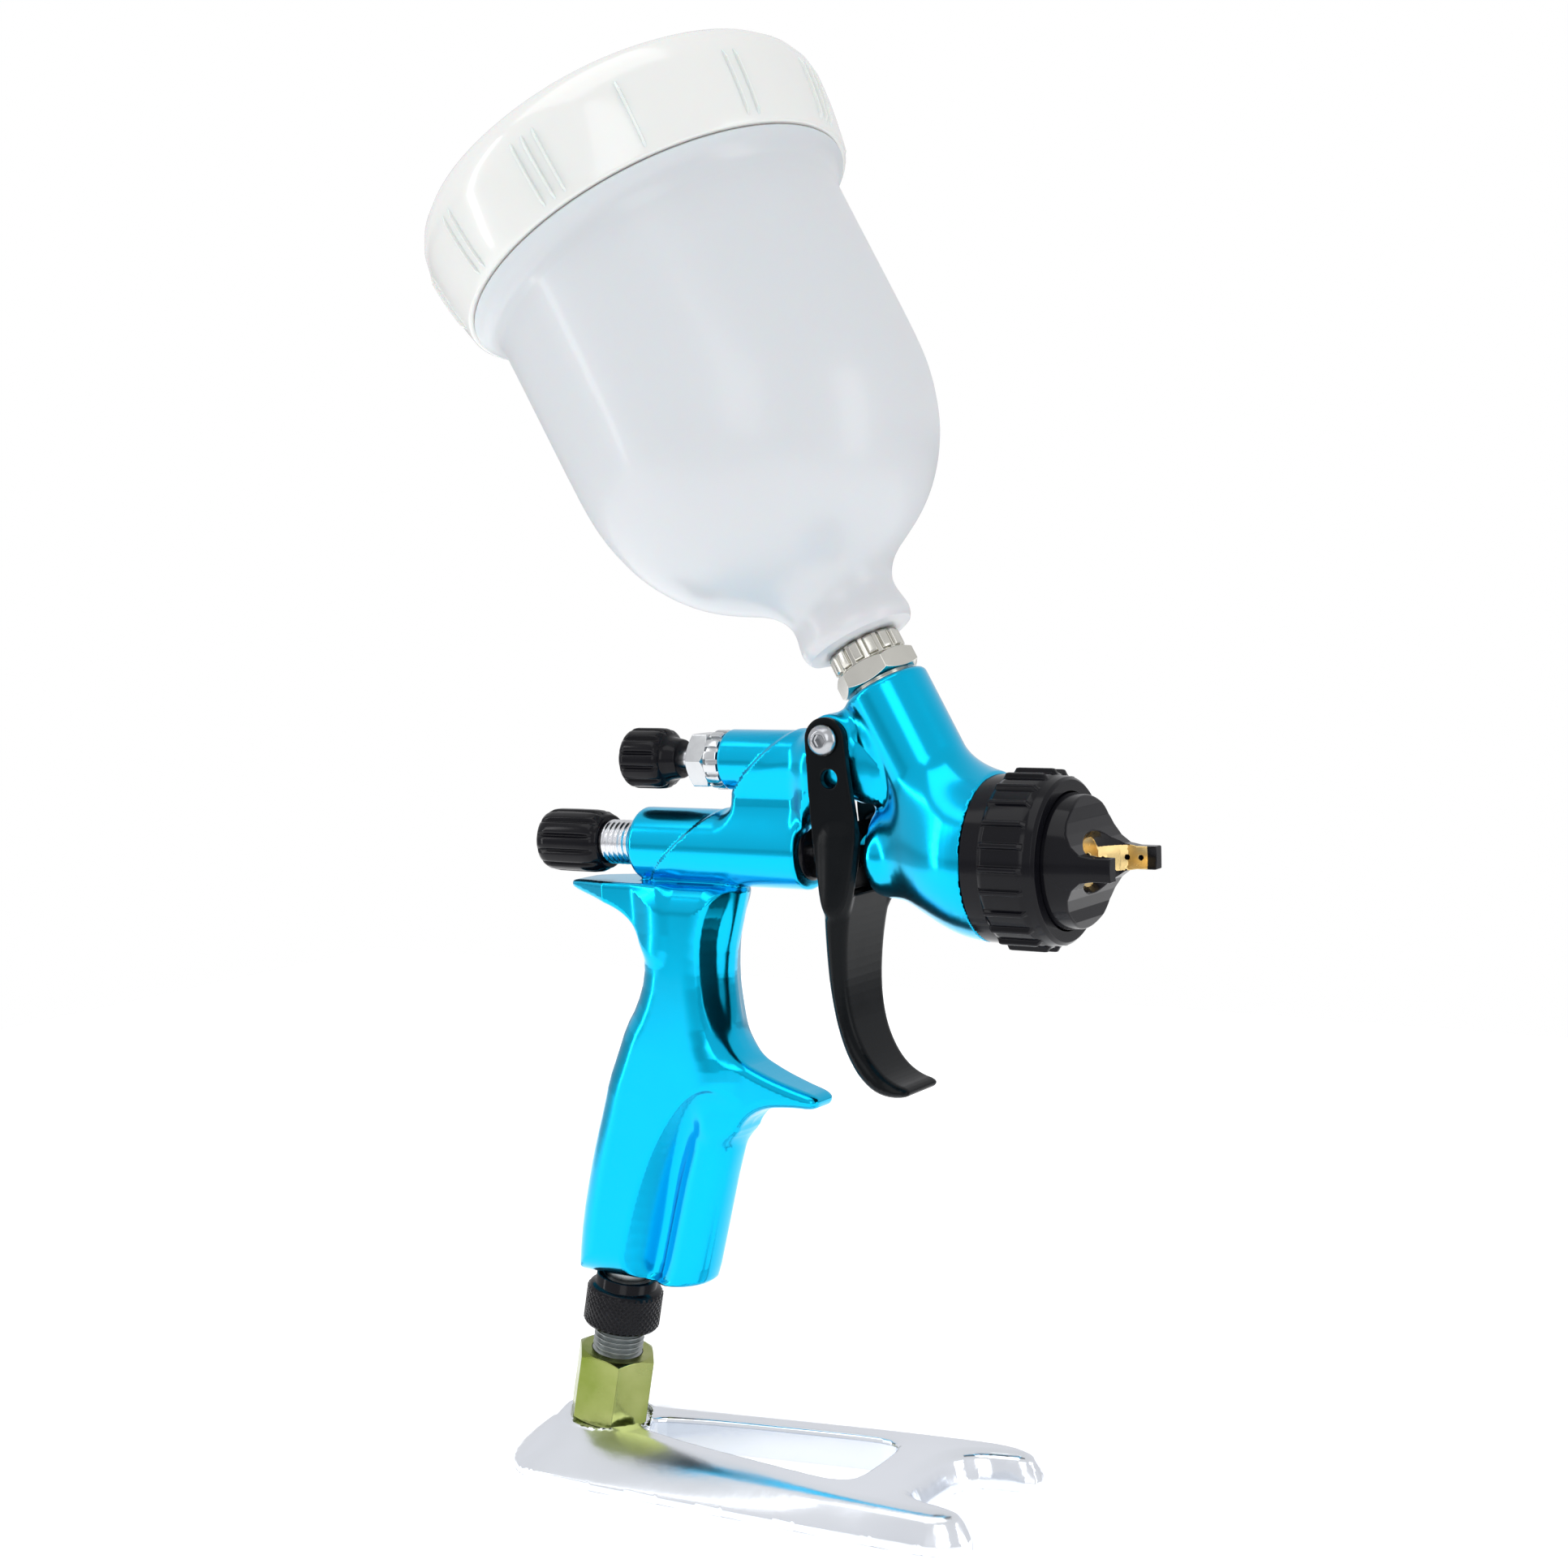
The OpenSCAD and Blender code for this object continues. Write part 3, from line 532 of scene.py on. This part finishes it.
def body_shape(x, y, z):
    """The forging before it is drilled."""
    ay = np.abs(y)

    def rod(x0, x1, radius, height, edge):
        return kept(np.sqrt(y * y + (z - height) ** 2) - radius, np.maximum(x0 - x, x - x1), edge)

    def slab(edge_line, half, rounding):
        return kept(outline(x, z, edge_line), ay - half, rounding)

    # The two housings step up behind a slanting crease, and carry the trigger's lug.
    rear = np.minimum(rod(-41.6, 8, 9.3, 0, 1.1), rod(-15, 30, 7.6, fan_height, 0.9))
    fore = joined(rod(-45, 8, 9.8, 0, 1.1), rod(-20, 34, 8.15, fan_height, 0.9), 2.5)
    fore = joined(fore, slab(eased(web_edge, 2), 6.2, 2), 3)
    crease = -((x + 24) * 0.669 - (z - 3.5) * 0.743)
    housings = joined(rear, kept(fore, crease, 0.45), 0.5)
    from_pivot = np.sqrt((x - pivot_x) ** 2 + (z - pivot_height) ** 2)
    lug = joined(slab(eased(lug_edge, 2), 8.8, 3.0), kept(from_pivot - 6, ay - 9.8, 1.0), 2)
    housings = joined(housings, lug, 4)

    # The bell of the head runs into the cup's boss.
    s, off = about_cup(x, y, z)
    boss = kept(off - 10.7, np.maximum(s - 46, -2 - s), 1.5)
    head = outline(x, np.sqrt(y * y + z * z), head_edge)
    front = joined(joined(head, boss, 9), lug, 3)

    # The handle is a rounded pillow, hollowed along its front sides so that a slim spine stands proud.
    edge = outline(x, z, eased(grip_edge, 1))

    def pillow(reach, half, power):
        u = np.maximum(reach + edge, 0) / reach
        return ((u ** power + (ay / half) ** power) ** (1 / power) - 1) * min(reach, half) * 0.9

    step = np.clip((z + 62) / 8, 0, 1)
    steep = 1.5 + 0.7 * step
    trim = (outline(x, z, eased(wide_side, 2)) * steep + ay - 9.6) / np.sqrt(1 + steep ** 2)
    spine = 7.4 - 2.6 * step
    front_x = np.interp(z, [row[0] for row in grip_rows[::-1]], [row[1] + row[2] for row in grip_rows[::-1]])
    tube = kept((np.sqrt((x - front_x + spine) ** 2 + y * y) - spine) * 0.93, edge, 0.8)
    grip = joined(kept(pillow(9, 11, 2.4), trim, 0.5), tube, 3.4 - 2.6 * step)
    tongue = ay - np.clip(5.2 + (x + 62) * 0.35, 3.5, 9.5)
    palm = kept(outline(x, z, eased(palm_edge, 2)), tongue, 1.3)
    finger = kept(outline(x, z, eased(finger_edge, 2)), ay - np.clip(6.9 - (x + 14) * 0.08, 5, 6.9), 2.4)
    grip = joined(joined(grip, palm, 3), finger, 3.5)
    return joined(np.minimum(housings, front), kept(grip, z + 9.2, 1.2), 1.2)


def body_bores(x, y, z):
    """The air valve's chamber and the openings in the forging that can be seen from outside."""
    r = np.sqrt(y * y + z * z)
    s, off_cup = about_cup(x, y, z)
    t, off_inlet = about_inlet(x + gun_origin[0], y, z + gun_origin[2])
    bores = (np.maximum(r - 5.72, x + 33),
             np.maximum(r - 6.5, np.abs(x + 2) - 12),
             np.maximum(r - 5.1, np.abs(x + 22) - 8.5),
             np.maximum(r - 3.2, np.abs(x + 24) - 10),
             np.maximum(r - 1.5, np.abs(x - 36) - 12),
             np.maximum(np.sqrt(y * y + (z - fan_height) ** 2) - 5.6, x + 2),
             np.maximum(off_cup - 7.1, 36 - s),
             np.maximum(off_inlet - 5.52, t - 63),
             np.maximum(off_inlet - 8.3, t - 49.8))
    return functools.reduce(np.minimum, bores)


body = cast("gun_forging", lambda x, y, z: kept(body_shape(x, y, z), -body_bores(x, y, z), 0.3),
            (-68.4, -20.7, -114.6), (60, 20.7, 48), 0.65 * fine, gun_origin)
blue_anodised = finish("gloss_blue_anodised", (0.0, 0.48, 0.78), 1.0, 0.19, scale=40, spread=0.03, tone=0.03,
                       coat_weight=0.12, coat_roughness=0.05)
fit(body, "gun", blue_anodised, "gun_body")

# ---- Fluid needle, its spring and its knob ----
# The needle runs the length of the gun. A spring behind it pushes it shut, and the fluted black
# knob screws along a threaded steel sleeve to set how far it may open.


def along(x, z=0.0):
    """A place on the needle's axis, or on a line beside it, with the piece's own axis pointing forward."""
    return millimetres @ Matrix.Translation(gun_origin) @ Matrix.Translation((x, 0, z)) @ Matrix.Rotation(
        math.pi / 2, 4, "Y")


sleeve_pitch, sleeve_root, sleeve_crest = 1.5, 5.25, 5.7
sleeve = [(4.2, -66), (5.2, -66)]
for i in range(14):
    x = -64.6 + i * sleeve_pitch
    sleeve += [(sleeve_root, x), (sleeve_crest, x + 0.4), (sleeve_crest, x + 0.8), (sleeve_root, x + 1.2)]
sleeve += [(5.7, -43.2), (5.7, -32.8), (4.2, -32.8)]
bushing = turned("threaded_sleeve", sleeve, along(0), bevel=0.05)
fit(bushing, "gun", bright_steel, "needle_bushing")


def fluted_knob(name, stations, place):
    """A knob whose (radius, height, share of the flute's depth) stations run from its end to its skirt."""
    flutes, flute_depth = 12, 0.9
    around, rows = flutes * 18, len(stations)
    points = []
    for i in range(around):
        a = 2 * math.pi * i / around
        u = (i * flutes / around) % 1
        groove = math.exp(-((u - 0.5) / 0.13) ** 2)
        for r, h, share in stations:
            q = r - flute_depth * groove * share
            points.append((q * math.cos(a), q * math.sin(a), h))
    faces = skin(around, rows, closed=False)
    faces.append([i * rows for i in range(around)][::-1])
    faces.append([i * rows + rows - 1 for i in range(around)])
    piece = piece_of(name, points, faces)
    piece.data.shade_smooth()
    return settle(piece, place)


needle_stations = [(5.4, -72.0, 0), (6.6, -71.9, 0), (7.4, -71.3, 0.2), (7.9, -70.2, 0.7), (8.1, -68.5, 1),
                   (8.15, -63, 1), (8.1, -57.5, 1), (7.9, -55.4, 0.8), (7.4, -54.3, 0.2), (7.0, -53.9, 0),
                   (6.9, -53.1, 0), (6.4, -52.8, 0)]
needle_knob = fluted_knob("needle_knob_shell", needle_stations, along(0))
fit(needle_knob, "needle_knob", black_anodised, "needle_knob")
spring_steel = finish("spring_wire", (0.5, 0.51, 0.54), 1.0, 0.28, scale=600)
dress("needle_spring", spring_steel)
dress("needle_spring_pad", bright_steel)
dress("fluid_needle", bright_steel)
white_ptfe = finish("white_ptfe", (0.86, 0.85, 0.82), 0.0, 0.45, scale=300, bump=0.01)
satin_nickel = finish("satin_nickel_plate", (0.62, 0.61, 0.56), 1.0, 0.2, scale=300, bump=0.004)
dress("needle_packing", white_ptfe)
packing_nut = hexagon_nut("needle_packing_nut", 8, 4.1, 1.08, along(22.9), bevel=0.1)
fit(packing_nut, "gun", satin_nickel, "packing_nut")

# ---- Air valve ----
# A slotted black plug closes the front of the lower housing and guides the stem that the
# trigger pushes back against a coil spring.

plug_profile = [(2.58, -14), (6.42, -14), (6.42, 7.7), (7.3, 7.7), (7.5, 8.0), (7.5, 8.4), (6.8, 9.2), (2.58, 9.2)]
valve_plug = turned("air_valve_plug", plug_profile, along(0), bevel=0.2)
fit(valve_plug, "gun", black_anodised, "air_valve_body")
black_rubber = finish("black_rubber", (0.02, 0.02, 0.02), 0.0, 0.6, scale=300, bump=0.02)
dress("air_valve_stem", bright_steel)
dress("air_valve_seal", black_rubber)
dress("air_valve_spring", spring_steel)

# ---- Fan valve and its knob ----
# A nickel-plated gland nut with a slotted collar screws into the upper housing. Its black knob
# turns a stem that narrows the air going to the horns.


def notched(name, profile, count, width, depth, above, place):
    """A turned piece whose rim, outside a radius, is cut by evenly spaced flats or slots."""
    around = count * 20
    points = []
    for i in range(around):
        a = 2 * math.pi * i / around
        u = (i * count / around) % 1
        cut = min(max((width / 2 + 0.05 - abs(u - 0.5)) / 0.05, 0), 1)
        for r, h in profile:
            q = max(r - depth * cut, above) if r > above else r
            points.append((q * math.cos(a), q * math.sin(a), h))
    piece = piece_of(name, points, skin(around, len(profile)))
    piece.data.shade_smooth()
    return settle(piece, place, 0.12, 2, 30)


bright_nickel = finish("bright_nickel_plate", (0.6, 0.615, 0.63), 1.0, 0.16, scale=300, bump=0.004)
gland_profile = [(2.66, -24.6), (4.6, -24.6), (4.6, -15.1), (5.55, -15.1), (5.55, -4.1), (2.66, -4.1)]
fan_gland = turned("fan_valve_thread", gland_profile, along(0, fan_height), bevel=0.15)
collar_profile = [(4.5, -19.5), (5.7, -19.5), (7.1, -19.2), (7.4, -18.6), (7.4, -16.0), (7.1, -15.4), (5.7, -15.2),
                  (4.5, -15.2)]
fan_collar = notched("fan_valve_collar", collar_profile, 14, 0.3, 0.9, 5.9, along(0, fan_height))
fit(fan_collar, "gun", bright_nickel, None)
fit(fan_gland, "gun", bright_nickel, "fan_valve_body")
fan_hexagon = hexagon_nut("fan_valve_hexagon", 13.0, 5.4, 4.5, along(-24.7, fan_height), bevel=0.2,
                          turn=math.radians(30))
fit(fan_hexagon, "gun", bright_nickel, None)
fan_stations = [(5.0, -45.0, 0), (6.3, -44.9, 0), (7.1, -44.5, 0.1), (7.55, -43.8, 0.5), (7.7, -43, 1), (7.7, -39, 1),
                (7.7, -36.5, 1), (7.6, -35, 1), (7.4, -34.2, 0.6), (6.9, -33.6, 0.1), (6.2, -33.2, 0), (5.6, -33.0, 0),
                (5.3, -31.5, 0), (4.9, -29.6, 0), (4.5, -29.2, 0), (2.7, -29.1, 0)]
fan_knob = fluted_knob("fan_knob_shell", fan_stations, along(0, fan_height))
fit(fan_knob, "fan_valve", black_anodised, "fan_knob")
dress("fan_valve_stem", bright_steel)
dress("fan_valve_oring", black_rubber)

# ---- Trigger ----
# A forked lever of black satin anodised aluminium. Its two plates straddle the body and hang on a
# hollow pin held by two button-head screws; the lever below curls forward at its tip.

plate_edge = [(13.5, 27.9), (14.1, 16), (14.9, 4), (15.9, -4), (17.2, -12), (20, -14), (23, -12), (24.6, -7),
              (26.2, 2), (27.0, 8), (26.2, 13), (25, 20), (24.3, 27.9)]
lever_edge = [(26.6, 5.5), (26.2, 0), (24.5, -8), (22.6, -16), (21.6, -24), (21.4, -33), (22.6, -41), (25.0, -47),
              (28.6, -51.8), (32.6, -54.4), (36.8, -55.4), (36.8, -57.5), (31, -58.1), (26.0, -56.2), (21.4, -51),
              (18.4, -43), (16.8, -33), (16.4, -24), (16.4, -16), (16.7, -10), (17.1, -4), (17.1, 7.2), (24.5, 7.8)]


def trigger_shape(x, y, z):
    """Two side plates run into the finger lever; the stem's slot, a pocket and two holes are cut out."""
    ay = np.abs(y)
    from_pivot = np.sqrt((x - pivot_x) ** 2 + (z - pivot_height) ** 2)
    arm = joined(outline(x, z, eased(plate_edge, 2)), from_pivot - 5.4, 1.5)
    plates = kept(arm, np.abs(ay - 11.2) - 1, 0.35)
    lever = kept(outline(x, z, eased(lever_edge, 2)), ay - np.clip(12.1 + (z + 12) * 0.07, 9.4, 12.1), 3.2)
    shape = joined(plates, lever, 2.5)
    slot = np.maximum(np.maximum(ay - 1.7, np.abs(z - 0.1) - 3.5), np.abs(x - 21) - 9)
    pocket = np.maximum(np.maximum(ay - 9.3, np.abs(z) - 9), 20.2 - x)
    hole = np.minimum(np.sqrt((x - 20) ** 2 + (z - 18.7) ** 2) - 2.3, from_pivot - 3.0)
    return kept(kept(kept(shape, -slot, 0.2), -pocket, 0.5), -hole, 0.25)


trigger = cast("trigger_lever", trigger_shape, (12, -13.4, -59.5), (38.5, 13.4, 35), 0.45 * fine, gun_origin)
black_satin = finish("satin_black_anodised", (0.003, 0.004, 0.005), 0.0, 0.22, scale=150, spread=0.04,
                     specular_ior_level=0.1)
fit(trigger, "trigger", black_satin, "trigger")
dress("trigger_pivot_pin", bright_steel)


def button_screw(name, side):
    """A domed head with a hexagon socket, on the side of the trigger that faces -Y where side is 1."""
    around, socket_apothem = 96, 1.45
    stations = [(0, 1.0), (1.45, 0.3), (1.45, 2.1), (1.85, 2.15), (2.3, 2.05), (3.0, 1.6), (3.5, 1.0), (3.75, 0.4),
                (3.8, 0)]
    points = []
    for i in range(around):
        a = 2 * math.pi * i / around
        for k, (r, h) in enumerate(stations):
            q = socket_apothem / math.cos(a % (math.pi / 3) - math.pi / 6) if k in (1, 2) else r
            points.append((q * math.cos(a), q * math.sin(a), h))
    m = len(stations)
    faces = [(i * m + j, i * m + j + 1, (i + 1) % around * m + j + 1, (i + 1) % around * m + j)
             for i in range(around) for j in range(1, m - 1)]
    faces.append([i * m + 1 for i in range(around)])
    faces.append([i * m + m - 1 for i in range(around)][::-1])
    piece = piece_of(name, points, faces)
    piece.data.shade_smooth()
    place = Matrix.Translation((pivot_x, -12.5 * side, pivot_height)) @ Matrix.Rotation(math.pi / 2 * side, 4, "X")
    return settle(piece, millimetres @ Matrix.Translation(gun_origin) @ place)


screw_steel = finish("zinc_screw_steel", (0.42, 0.43, 0.45), 1.0, 0.24, scale=400, bump=0.004)
for side, seen_from_front in ((1, "left"), (-1, "right")):
    screw = button_screw("pivot_screw_" + seen_from_front, side)
    fit(screw, "gun", screw_steel, "trigger_screws" if side == 1 else None)

# ---- Nozzle, baffle, air cap and its ring ----
# The steel fluid nozzle screws into the head through a brass baffle. The black brass air cap turns
# on the front, held by a ring with wide grip flats; faces cut after anodising show the brass.

dress("fluid_nozzle", bright_steel)
dress("nozzle_seal", white_ptfe)
raw_brass = finish("turned_brass", (0.78, 0.58, 0.26), 1.0, 0.24, scale=400, bump=0.004)
dress("baffle_ring", raw_brass)
dress("ring_clip", spring_steel)
ring_profile = [(17.2, 58.3), (19.6, 58.3), (19.7, 58.5), (19.7, 62.8), (21.2, 63.6), (21.3, 64.2), (21.3, 72.6),
                (21.2, 73.2), (19.9, 74), (19.7, 74.4), (19.4, 76), (18.7, 76.7), (16.1, 76.7), (16.1, 74), (17.2, 74)]
cap_ring = notched("air_cap_grip_ring", ring_profile, 24, 0.72, 1.0, 20.2, along(0))
fit(cap_ring, "cap_ring", black_anodised, "air_cap_ring")

cap_edge = [(69.7, 12.6), (69.7, 16.8), (73.5, 16.8), (73.6, 15.9), (77.5, 15.8), (80.5, 15.4), (84, 14.9), (88, 14.7),
            (93.2, 14.6), (93.2, -3), (79.2, -3), (79.2, 5.2), (73, 12.6)]
bore_edge = [(81.2, -3), (81.2, 5.6), (82.4, 7.6), (84.6, 10.4), (86.0, 11.2), (96, 11.4), (96, -3)]
front_half = [(60, 17.5), (78.6, 17.5), (80.6, 15.8), (81.4, 13), (81.4, 10), (82.0, 7.5), (83.4, 5.0), (85.6, 3.2),
              (88.4, 2.7), (93.2, 2.7)]
front_edge = [(x, -z) for x, z in front_half] + front_half[::-1]
horn_jets, horn_jet_slope = (85.9, 89.3), 0.4


def cap_shape(x, y, z):
    """A turned cup milled away to two horns, with a centre hole, two jets beside it and two in each horn."""
    r = np.sqrt(y * y + z * z)
    solid = kept(outline(x, r, cap_edge), outline(x, z, front_edge), 0.35)
    solid = kept(solid, -outline(x, r, bore_edge), 0.15)
    solid = kept(solid, -np.maximum(r - 1.9, 75 - x), 0.1)
    ay = np.abs(y)
    for at in horn_jets:
        jet = np.maximum(np.sqrt((x - at + (ay - 11.3) * horn_jet_slope) ** 2 + z * z) - 0.62, np.abs(ay - 11) - 1.6)
        solid = np.maximum(solid, -jet)
    jets = np.maximum(np.sqrt((ay - 6.8) ** 2 + z * z) - 0.5, 79.8 - x)
    return np.maximum(solid, -jets)


cap = cast("air_cap_turning", cap_shape, (69, -17.4, -17.4), (94, 17.4, 17.4), 0.33 * fine, gun_origin)
fit(cap, "cap", black_anodised, "air_cap")
cap.data.materials.append(raw_brass)
for face in cap.data.polygons:
    c = face.center * 1000 - Vector(gun_origin)
    reach = math.hypot(c.y, c.z)
    on_counterbore = c.x > 80.9 and reach < 5.7
    between_horns = 81.0 < c.x < 91 and abs(c.z) < 2.9 and reach < 11.5
    if on_counterbore or between_horns:
        face.material_index = 1

# ---- Cup fitting, cup and strainer ----
# A satin nickel hexagon fitting screws into the boss; the blow-moulded, milky polypropylene cup
# screws over it. A small nylon strainer stands in the cup's neck.


def on_cup(s):
    """A place on the cup's leaning axis."""
    lean = Matrix.Translation((cup_foot, 0, 0)) @ Matrix.Rotation(-cup_lean, 4, "Y")
    return millimetres @ Matrix.Translation(gun_origin) @ lean @ Matrix.Translation((0, 0, s))


fitting = turned("cup_fitting_thread", [(4.5, 37), (7.05, 37), (7.05, 57.3), (6.9, 57.3), (6.9, 65.8), (4.5, 65.8)],
                 on_cup(0), bevel=0.15)
fit(fitting, "gun", satin_nickel, "cup_fitting")
fitting_hexagon = hexagon_nut("cup_fitting_hexagon", 18.4, 5.2, 7, on_cup(46.9), chamfer=0.6, bevel=0.25,
                              turn=math.radians(12))
fit(fitting_hexagon, "gun", satin_nickel, None)
castle_profile = [(7, 51.9), (8.3, 51.9), (8.3, 52.4), (8.9, 52.7), (9.1, 53.2), (9.1, 56.4), (8.8, 57.0), (8.3, 57.3),
                  (7, 57.3)]
fitting_ring = notched("cup_fitting_castle_ring", castle_profile, 14, 0.34, 1.0, 8.1, on_cup(0))
fit(fitting_ring, "gun", satin_nickel, None)
cup_out = [(13.2, 58.2), (13.9, 59.4), (14.2, 61), (13.9, 63), (13.4, 65.5), (13.4, 68), (14.3, 70.5), (16.2, 73.2),
           (19.4, 75.9), (23.6, 78.4), (28.2, 81.4), (32.2, 84.8), (35.7, 88.8), (38.7, 93.2), (41.2, 98),
           (43.1, 103.5), (44.5, 109), (45.3, 115), (45.6, 124), (45.7, 140), (45.8, 156), (45.9, 162)]
cup_shoulder = [(46.1, 164.2), (46.9, 166.4), (48.6, 168.3), (50.2, 169.3), (50.2, 169.7), (46.4, 169.7), (46.2, 174),
                (48.6, 176), (48.6, 183.5)]
cup_in = [(44, 183.5), (44, 172), (43.8, 156), (43.7, 140), (43.6, 124), (43.3, 115), (42.4, 109.4), (41, 104),
          (39.1, 98.9), (36.7, 94.4), (33.8, 90.2), (30.4, 86.4), (26.6, 83.2), (22, 80.4), (17.6, 77.8), (14, 74.6),
          (11.8, 71.6), (10.8, 69), (6.96, 66.2), (6.96, 57.5), (11.4, 57.5)]
cup_profile = eased(cup_out, 2, False) + cup_shoulder + cup_in
cup = turned("fluid_cup_shell", cup_profile, on_cup(0), steps=128, bevel=0)
milky = finish("milky_polypropylene", (0.61, 0.63, 0.655), 0.0, 0.3, scale=30, spread=0.02, tone=0.008,
               subsurface_weight=0.3, subsurface_scale=0.006, coat_weight=0.2, coat_roughness=0.06)
fit(cup, "gun", milky, "fluid_cup")
amber = finish("amber_nylon", (0.8, 0.6, 0.2), 0.0, 0.5, scale=300)
dress("paint_strainer", amber)

# ---- Lid ----
# An injection-moulded ivory cap that screws over the cup, with a rounded crown, groups of fine grip
# ribs on its skirt and a rubber plug that is eased off to let air in.

lid_skirt = [(52.1, 173), (52.9, 177), (53.5, 181.5), (53.9, 186)]
lid_profile = [(48.95, 170), (51, 170), (51.5, 170.5)] + lid_skirt + [
    (54.0, 188.5), (53.6, 191.4), (52.4, 194.2), (50.4, 196.4), (47.6, 198), (44, 199), (38, 199.5), (20, 199.75),
    (0, 199.8), (0, 197.4), (38, 197), (41.5, 195), (42, 186), (48.95, 186)]
lid = turned("cup_lid_shell", lid_profile, on_cup(0), steps=128, bevel=0.3, segments=3, angle=35)
ivory = finish("ivory_polyethylene", (0.74, 0.75, 0.73), 0.0, 0.2, scale=40, spread=0.02, tone=0.01,
               subsurface_weight=0.2, subsurface_scale=0.005, coat_weight=0.5, coat_roughness=0.06)
fit(lid, "lid", ivory, "cup_lid")


def grip_ribs():
    """Fine upright ribs in groups round the skirt, each a closed strip that follows the skirt's curve."""
    stations = [(51.4, 171.2)] + lid_skirt + [(54.0, 188.2)]
    n, half, rib_height, sunk = len(stations), math.radians(0.6), 0.75, 0.4
    points, faces = [], []
    for group in range(12):
        for k in range((3, 1, 2)[group % 3]):
            a = math.radians(group * 30 + 6 + k * 3.4)
            base = len(points)
            for i, (r, h) in enumerate(stations):
                top = r + (0.08 if i in (0, n - 1) else rib_height)
                for q, b in ((r - sunk, a - half), (top, a - half / 2), (top, a + half / 2), (r - sunk, a + half)):
                    points.append((q * math.cos(b), q * math.sin(b), h))
            for foot in range(base, base + 4 * (n - 1), 4):
                faces += [(foot + j, foot + (j + 1) % 4, foot + 4 + (j + 1) % 4, foot + 4 + j) for j in range(4)]
            faces += [(base + 3, base + 2, base + 1, base), tuple(base + (n - 1) * 4 + j for j in range(4))]
    return settle(piece_of("lid_grip_ribs", points, faces), on_cup(0), 0.1, 2, 30)


fit(grip_ribs(), "lid", ivory, None)
dress("lid_gasket", black_rubber)
dress("lid_vent_plug", black_rubber)
